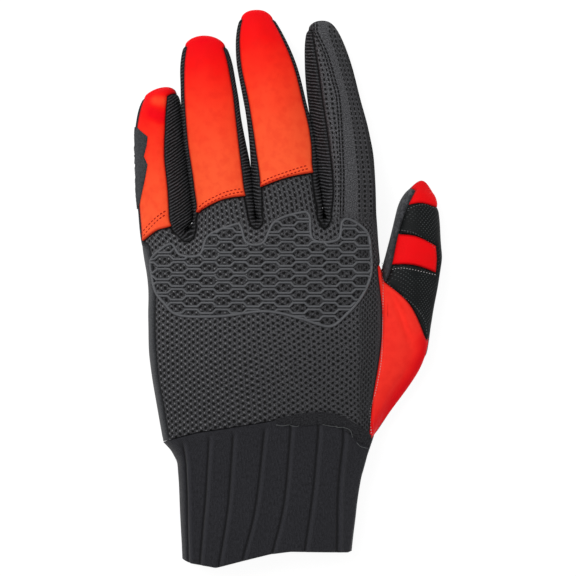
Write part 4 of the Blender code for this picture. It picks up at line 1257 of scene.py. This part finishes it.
cuff = {
    "around": 720,
    "rows": 84,
    "length": 0.0540,
    "wall": 2.2 * mm,
    "gap": 0.30 * mm,
    # down the cuff: left and right edge as shares of the hand's width, height share
    "sides": (
        (0.00, -0.407, 0.487, 1.00),
        (0.07, -0.372, 0.478, 0.97),
        (0.17, -0.346, 0.460, 0.94),
        (0.35, -0.341, 0.436, 0.90),
        (0.60, -0.336, 0.416, 0.88),
        (0.85, -0.330, 0.400, 0.88),
        (1.00, -0.327, 0.392, 0.88),
    ),
    "mouth": ((0.0, 0.94), (0.03, 0.96), (0.20, 1.0), (0.37, 0.94), (0.52, 0.89), (0.64, 0.87), (1.0, 0.88)),
    "grooves": (
        ((182, 440), (186, 470), (188, 560)),
        ((209, 436), (206, 490), (200, 560)),
        ((233, 436), (228, 506), (219, 564)),
        ((264.5, 427), (255.5, 506), (243, 558)),
        ((290.5, 430), (284, 502), (272.5, 552)),
        ((318, 433), (313, 490), (305, 548)),
        ((343, 442), (338, 490), (337, 552)),
    ),
    "groove": 0.55 * mm,
    "bead": 0.45 * mm,
}


def wristLoop():
    # the skin's open edge in order, cut into equal steps
    edges, _ = borderOf(skinFaces)
    after = np.full(len(skinPoints), -1)
    after[edges[:, 0]] = edges[:, 1]
    order = [int(edges[skinPoints[edges[:, 0], 0].argmin(), 0])]
    while after[order[-1]] != order[0]:
        order.append(int(after[order[-1]]))
    loop = skinPoints[order]
    step = np.linalg.norm(np.diff(loop, axis=0), axis=1).sum() / cuff["around"]
    return alongLine(np.vstack((loop, loop[:1])), step)[:-1]


def smoothTable(table, share):
    # the table's columns, eased between its rows
    table = np.asarray(table)
    fine = np.linspace(0, 1, 401)
    columns = np.column_stack([np.interp(fine, table[:, 0], table[:, place]) for place in range(1, table.shape[1])])
    kernel = bell(np.linspace(-1, 1, 41), 0.5)
    kernel /= kernel.sum()
    padded = np.pad(columns, ((20, 20), (0, 0)), mode="reflect", reflect_type="odd")
    eased = np.column_stack([np.convolve(column, kernel, mode="valid") for column in padded.T])
    return np.column_stack([np.interp(share, fine, column) for column in eased.T])


def buildCuff():
    # rings from the wrist's edge to the mouth: the wrist's outline drawn in, sunk along its grooves
    loop = wristLoop()
    count = len(loop)
    low, high = loop[:, 0].min(), loop[:, 0].max()
    across = (loop[:, 0] - low) / (high - low)
    hang = skin["stand"][1] - skin["length"] - cuff["length"] * np.interp(across, *np.array(cuff["mouth"]).T)
    hang = (np.roll(hang, 3) + np.roll(hang, -3) + hang) / 3
    share = np.linspace(0, 1, cuff["rows"])
    sides = smoothTable(cuff["sides"], share)
    middleX = skin["stand"][0]
    x = middleX + (sides[:, 0:1] + (sides[:, 1:2] - sides[:, 0:1]) * across) * skin["width"]
    y = (loop[:, 1] - cuff["gap"]) + (hang - loop[:, 1] + cuff["gap"]) * share[:, None]
    z = loop[:, 2] * sides[:, 2:3]
    rings = np.dstack((x, y, z))
    ahead = np.roll(rings, -1, axis=1) - np.roll(rings, 1, axis=1)
    outward = unit(np.dstack((ahead[..., 2], np.zeros_like(x), -ahead[..., 0])))
    centre = rings.mean(axis=1, keepdims=True)
    if ((rings - centre) * outward).sum() < 0:
        outward = -outward
    top = rings[..., 2] > z.max() * 0.30
    dip, bead = np.zeros(x.shape), np.zeros(x.shape)
    for line in cuff["grooves"]:
        line = roundLine(atPhoto(line), 1 * mm)[::-1]
        off = x - np.interp(y, line[:, 1], line[:, 0])
        dip = np.maximum(dip, bell(off, 0.62 * mm) * top)
        bead = np.maximum(bead, bell(off - 1.5 * mm, 0.95 * mm) * top)
    spread = np.abs(((x - x.min(axis=1, keepdims=True)) / np.ptp(x, axis=1)[:, None] * 8) % 1.0 - 0.5)
    dip = np.maximum(dip, bell((0.5 - spread) * 11 * mm, 0.6 * mm) * ~top)
    fade = np.clip(share * 14, 0, 1)[:, None]
    lift = -cuff["groove"] * dip + cuff["bead"] * bead
    lift = lift + 0.22 * mm * wave(rings.reshape(-1, 3), 26 * mm, 9).reshape(x.shape)
    outer = rings + outward * (lift * fade)[..., None]
    inner = rings - outward * cuff["wall"]
    inner[..., 2] = np.where(rings[..., 2] < cuff["wall"] * 0.6, cuff["wall"], inner[..., 2])
    outer[..., 2] = np.maximum(outer[..., 2], 0.0)
    lip = outer[-1:] - outward[-1:] * cuff["wall"] * 0.45 + (0, -0.45 * mm, 0)
    lip[..., 2] = np.clip(lip[..., 2], 0.4 * mm, None)
    innerRows = np.concatenate((inner[::-7], inner[:1]))
    shell = np.concatenate((outer, lip, innerRows), axis=0)
    rows = len(shell)
    flip = np.cross(outer[3, 1] - outer[3, 0], outer[4, 0] - outer[3, 0]) @ outward[3, 0] < 0
    faces = gridFaces(rows, count, closed=True, flip=flip)
    ids = np.arange(count)
    last = (rows - 1) * count
    rim = np.stack((last + ids, last + np.roll(ids, -1), np.roll(ids, -1), ids), axis=1)
    rim = rim[:, ::-1] if flip else rim
    obj = addMesh("cuff_knit", shell.reshape(-1, 3), np.vstack((faces, rim)), finishes["cuff"])
    length = np.concatenate(([0], np.cumsum(np.linalg.norm(np.diff(outer[40], axis=0), axis=1))))
    flatX = np.tile(length, (rows, 1))
    flatY = np.concatenate((y, y[-1:], y[::-7], y[:1]))
    setCloth(obj, np.column_stack((flatX.ravel(), flatY.ravel())))
    pad = np.zeros((rows - cuff["rows"], count))
    # these fields also carry the cuff finish's painted shade in the grooves and painted highlight on the beads
    setField(obj, "groove", np.vstack((dip * fade, pad)).ravel())
    setField(obj, "bead", np.vstack((bead * fade, pad)).ravel())
    outside = gridFaces(cuff["rows"], count, closed=True, flip=flip)
    sewn["cuff"] = (obj, outer.reshape(-1, 3), outside)
    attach(obj, "root")
    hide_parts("cuff")


buildCuff()
print("cuff made")


# shifts to the line's left, dash, space, width, finish
hemStitch = ((2.2, 5.4), 1.25, 0.45, 0.70, "threadRed")
thumbStitch = ((0.0,), 0.55, 0.70, 0.34, "threadGrey")
stitchRows = (
    # name, panels under it, the stitch, the line
    ("hem_little", "finger_back_little", *hemStitch,
     ((145, 238), (149.8, 232), (158.3, 223.3), (166, 217.5), (169.5, 215.8))),
    ("hem_ring", "finger_back_ring", *hemStitch,
     ((199.8, 214.4), (207, 207.6), (217.6, 201.8), (230.2, 196.6), (245, 193.8))),
    ("hem_middle", "finger_back_middle", *hemStitch,
     ((261.8, 188.6), (272.7, 183), (300, 173.4), (311.5, 170.4))),
    ("gusset_edge", "thumb_gusset back_panel", (-0.3,), 0.62, 0.55, 0.42, "threadPale",
     ((382.6, 262), (383.2, 283), (382.6, 329), (381.2, 362), (375.4, 393), (370.4, 410), (371.5, 434))),
    ("band_foot", "thumb_panel thumb_band", (0.0,), 0.55, 0.70, 0.36, "threadPale",
     ((391, 269.5), (402, 268), (418, 270.8), (436.5, 275))),
    ("band_head", "thumb_panel thumb_band", *thumbStitch,
     ((397.5, 229.5), (412, 232.5), (426, 239.5), (436, 249))),
    ("tip_foot", "thumb_panel thumb_tip", *thumbStitch,
     ((407, 209), (415, 206), (424, 204.5), (435, 208))),
    ("panel_foot", "thumb_panel", (0.0,), 0.55, 0.75, 0.34, "threadGrey",
     ((384.5, 279.5), (396, 291.5), (413, 304.5), (424, 319), (427, 334))),
    ("wrist_row", "back_panel", (0.0,), 0.9, 0.8, 0.36, "threadDark",
     ((166.7, 436.5), (193.7, 429.5), (236, 423.5), (264.5, 418.5), (299, 411.5), (320, 409.5), (335, 411.5),
      (350, 418.5), (364, 427))),
)


def dashes(line, cloth, dash, space, width, height, sink=0.10 * mm):
    # many short rounded dashes at even steps: each a small arch carried over five points of the line
    fine = roundLine(line, 0.1 * mm)
    length = np.concatenate(([0.0], np.cumsum(np.linalg.norm(np.diff(fine, axis=0), axis=1))))
    starts = np.arange(space / 2, length[-1] - dash, dash + space)
    share = np.linspace(0, 1, 5)
    reach = (starts[:, None] + share * dash).ravel()
    places = np.column_stack([np.interp(reach, length, fine[:, axis]) for axis in range(2)])
    path, up = onTop(places, cloth)
    tangent = unit(path.reshape(-1, 5, 3)[:, -1] - path.reshape(-1, 5, 3)[:, 0])
    tangent = np.repeat(tangent, 5, axis=0)
    side = unit(np.cross(tangent, up))
    swell = np.tile(np.sin(np.pi * (0.12 + 0.76 * share)) ** 0.5, len(starts))[:, None, None]
    turn = np.linspace(0, 2 * np.pi, 6, endpoint=False)
    ring = side[:, None] * np.cos(turn)[:, None] * width / 2 + up[:, None] * np.sin(turn)[:, None] * height
    points = path[:, None] + ring * swell - up[:, None] * sink * (1.4 - swell)
    ids = np.arange(len(points) * 6).reshape(len(starts), 5, 6)
    wrapped = np.concatenate((ids, ids[..., :1]), axis=2)
    a, b = wrapped[:, :-1, :-1], wrapped[:, :-1, 1:]
    c, d = wrapped[:, 1:, 1:], wrapped[:, 1:, :-1]
    quads = np.stack((a, d, c, b), axis=-1).reshape(-1, 4)
    caps = np.vstack((ids[:, 0], ids[:, -1, ::-1]))
    return points.reshape(-1, 3), quads, caps


def buildStitches():
    # each row: its line moved sideways by the given shifts, then cut into dashes
    for name, under, shifts, dash, space, width, finish, line in stitchRows:
        cloth = topCloth(under.split(), 0.15)
        fine = roundLine(atPhoto(line), 0.5 * mm)
        way = unit(np.gradient(fine, axis=0))
        left = np.column_stack((-way[:, 1], way[:, 0]))
        parts = []
        for shift in shifts:
            moved = fine + left * shift * photoGrid["step"][0]
            parts.append(dashes(moved, cloth, dash * mm, space * mm, width * mm, 0.12 * mm))
        obj = joined("stitches_" + name, parts, finishes[finish])
        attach(obj, "root")


buildStitches()
print("stitches laid")

# side flap of the little finger
flap = {
    "notches": (
        (134.7, 126), (141, 131.5), (147.6, 136.5), (146.4, 146), (143.4, 156),
        (145.5, 160.5), (147.6, 164.8), (145.2, 176), (141.2, 193), (137.0, 209),
    ),
    "outline": ((137, 120), (134, 128), (134.6, 136), (135.2, 150), (136, 168), (136, 190), (136.2, 208), (139, 216)),
    "rightSide": ((183.8, 121), (186.3, 142), (189.5, 171), (194.0, 210)),
    "lift": 0.40 * mm,
    "wall": 0.55 * mm,
    "under": -1.05,
}


def buildFlap():
    # from the scalloped edge round the finger's side: an ellipse guessed at each place, then laid on the cloth
    edge = atPhoto(flap["notches"])[::-1]
    outline, right = atPhoto(flap["outline"])[::-1], atPhoto(flap["rightSide"])[::-1]
    y = np.linspace(edge[0, 1], edge[-1, 1], 120)
    edgeX = np.interp(y, edge[:, 1], edge[:, 0])
    leftX = np.interp(y, outline[:, 1], outline[:, 0])
    rightX = np.interp(y, right[:, 1], right[:, 0])
    along = (y - skin["stand"][1]) / skin["fingers"][0][0]
    heights = np.array(skin["fingerHeights"]) * skin["fingerDepth"]
    rows = (-0.04, 0.20, 0.47, 0.73, 0.95)
    centre, half = (np.interp(along, rows, heights[:5, place]) for place in (0, 1))
    middle, reach = (leftX + rightX) / 2, (rightX - leftX) / 2
    first = np.arccos(np.clip((middle - edgeX) / reach, -1, 1))
    turn = first[:, None] + (flap["under"] - first)[:, None] * np.linspace(0, 1, 22)
    x = middle[:, None] - reach[:, None] * np.cos(turn)
    z = centre[:, None] + half[:, None] * np.sin(turn)
    guess = np.dstack((x, np.broadcast_to(y[:, None], x.shape), z)).reshape(-1, 3)
    spots = np.vstack([sewn[name][1] for name in ("finger_back_little", "palm")])
    ways = np.vstack([pointNormals(*sewn[name][1:]) for name in ("finger_back_little", "palm")])
    near = (spots[:, 0] < guess[:, 0].max() + 5 * mm) & (spots[:, 1] > y[0] - 8 * mm)
    cloth = spots[near], ways[near]
    for _ in range(3):
        laid, way = onSkin(guess, cloth, flap["lift"])
        guess = np.column_stack((laid[:, 0], guess[:, 1], laid[:, 2]))
    laid[:, 2] = np.maximum(laid[:, 2], 0.2 * mm)
    faces = gridFaces(120, 22)
    if (faceNormals(laid, faces) * way[faces[:, 0]]).sum() < 0:
        faces = faces[:, ::-1]
    obj = addMesh("little_side_flap", laid, faces, finishes["suede"])
    setField(obj, "seam", np.repeat(np.full(120, 6.0)[:, None], 22, axis=1).ravel())
    wall = obj.modifiers.new("wall", "SOLIDIFY")
    wall.thickness, wall.offset = flap["wall"], -1.0
    sewn["flap"] = (obj, laid, faces)
    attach(obj, "root")


buildFlap()
print("flap laid")

# seam allowance and loose threads at the wrist
allowance = {
    "seam": (
        (275, 418.6), (290, 415.4), (305, 412.6), (320, 411.6), (335, 413.4), (350, 420.4), (362, 428), (371, 435.5),
    ),
    "edge": ((275, 421), (290, 424.5), (305, 425.5), (320, 424.5), (335, 426), (350, 434), (361, 443), (369, 447)),
    "lift": 0.35 * mm,
    "fray": 0.35 * mm,
    "wall": 0.5 * mm,
}
looseThreads = (
    ((276, 424), (282, 425), (289, 424)),
    ((290, 424), (295, 426), (299, 425)),
    ((322, 424), (330, 425.5), (337, 426)),
    ((336, 427), (344, 427), (350, 431), (352, 437)),
    ((356, 442), (360, 446), (367, 448)),
)


def buildAllowance():
    # a ragged strip between the wrist seam and its own edge, laid on the cuff
    cloth = topCloth(("back_panel", "cuff"), 0.2)
    seam = roundLine(atPhoto(allowance["seam"]), 0.5 * mm)
    edge = roundLine(atPhoto(allowance["edge"]), 0.5 * mm)
    share = np.linspace(0, 1, 240)
    seam, edge = (
        np.column_stack([np.interp(share, np.linspace(0, 1, len(line)), line[:, axis]) for axis in range(2)])
        for line in (seam, edge)
    )
    spots = np.column_stack((edge, edge[:, :1]))
    rough = wave(spots, 2.2 * mm, 21) + wave(spots, 0.9 * mm, 22)
    edge[:, 1] += allowance["fray"] * rough
    down = np.linspace(0, 1, 12)[:, None, None]
    places = (seam + (edge - seam) * down).reshape(-1, 2)
    laid, way = onTop(places, cloth, allowance["lift"])
    laid += way * (0.12 * mm * wave(laid, 3 * mm, 23))[:, None]
    faces = gridFaces(12, 240)
    if (faceNormals(laid, faces) * way[faces[:, 0]]).sum() < 0:
        faces = faces[:, ::-1]
    obj = addMesh("seam_allowance", laid, faces, finishes["knitEdge"])
    setCloth(obj, clothLengths(laid))
    setField(obj, "seam", np.full(len(laid), 6.0))
    wall = obj.modifiers.new("wall", "SOLIDIFY")
    wall.thickness, wall.offset = allowance["wall"], -1.0
    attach(obj, "root")
    turn = np.linspace(0, 2 * np.pi, 6, endpoint=False)
    profile = np.column_stack((np.cos(turn), np.sin(turn))) * 0.09 * mm
    parts = []
    for number, line in enumerate(looseThreads):
        path, up = onTop(roundLine(atPhoto(line), 0.4 * mm), cloth, 0.75 * mm)
        path[:, 2] += 0.25 * mm * (1 + np.sin(np.linspace(0, 5 + number, len(path))))
        parts.append(carry(profile, path, up))
    threads = joined("loose_threads", parts, finishes["threadGrey"])
    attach(threads, "root")


def edgeFinish():
    # frayed mesh: dark cloth with pale fibres where fine noise is high
    f = Finish("seam_edge", Specular_IOR_Level=0.2)
    across, along = f.cloth()
    flat = f.vector(across, along)
    fine, tiny = f.noise(flat, 1.6, 3.0, 0.75), f.noise(flat, 4.0, 2.0, 0.7)
    colour = f.mix(f.step(fine, 0.35, 0.65), (0.004, 0.004, 0.005), (0.034, 0.034, 0.038))
    colour = f.mix(f.step(tiny, 0.58, 0.78) * 0.6, colour, (0.16, 0.16, 0.17))
    return f.dress(colour, 0.9, f.bump(fine + tiny * 0.5, 0.0004, 1.0))


finishes["knitEdge"] = edgeFinish()
buildAllowance()
print("wrist seam dressed")


def declareSheets():
    # flat sizes measured over the modelled cloth and printed; the seam allowance is the back mesh's own edge and is
    # not measured here
    for name in (*panelNames, "flap"):
        obj, points, faces = sewn[name]
        width, length, area = flatSize(points, faces)
        print("flat %s %.1f x %.1f mm, fills %.2f" % (name, width / mm, length / mm, area / width / length))


declareSheets()


studio = {
    "floor": (0.20, 0.20, 0.20),
    "glow": 0.90,
    "world": 0.42,
    "key": 13.0,
    "fill": 2.6,
    "distance": 2.5,
    "frame": 0.2488,
}


def buildStudio():
    # pale floor, even white surroundings, two soft lamps; lens = sensor * distance / frame width
    span = np.array((-3.0, 3.0))
    corners = np.array([(a, b, -0.0002) for b in span for a in span])
    f = Finish("floor", Specular_IOR_Level=0.0, Roughness=1.0, Emission_Strength=studio["glow"])
    f.shader.inputs["Emission Color"].default_value = (1, 1, 1, 1)
    f.dress(studio["floor"])
    floor = addMesh("floor", corners, np.array(((0, 1, 3, 2),)), f.material)
    world = bpy.data.worlds.new("studio")
    bpy.context.scene.world = world
    world.use_nodes = True
    back = world.node_tree.nodes["Background"]
    back.inputs["Color"].default_value = (1, 1, 1, 1)
    back.inputs["Strength"].default_value = studio["world"]
    for name, place, size in (("key", (-0.55, 0.55, 1.25), 0.9), ("fill", (0.8, -0.5, 1.1), 1.2)):
        lamp = bpy.data.lights.new(name, "AREA")
        lamp.size, lamp.energy = size, studio[name]
        obj = bpy.data.objects.new(name, lamp)
        bpy.context.scene.collection.objects.link(obj)
        obj.location = place
        way = -np.array(place)
        tilt = np.arctan2(np.hypot(way[0], way[1]), -way[2])
        obj.rotation_euler = (tilt, 0.0, np.arctan2(way[0], -way[1]) + np.pi)
    camera = bpy.data.objects.new("camera", bpy.data.cameras.new("camera"))
    bpy.context.scene.collection.objects.link(camera)
    camera.data.sensor_width = 36.0
    camera.data.lens = 36.0 * studio["distance"] / studio["frame"]
    camera.location = (*photoGrid["place"], studio["distance"] + 0.015)
    camera.data.clip_end = 20.0
    bpy.context.scene.camera = camera
    bpy.context.scene.view_settings.view_transform = "Standard"


buildStudio()
print("studio ready")
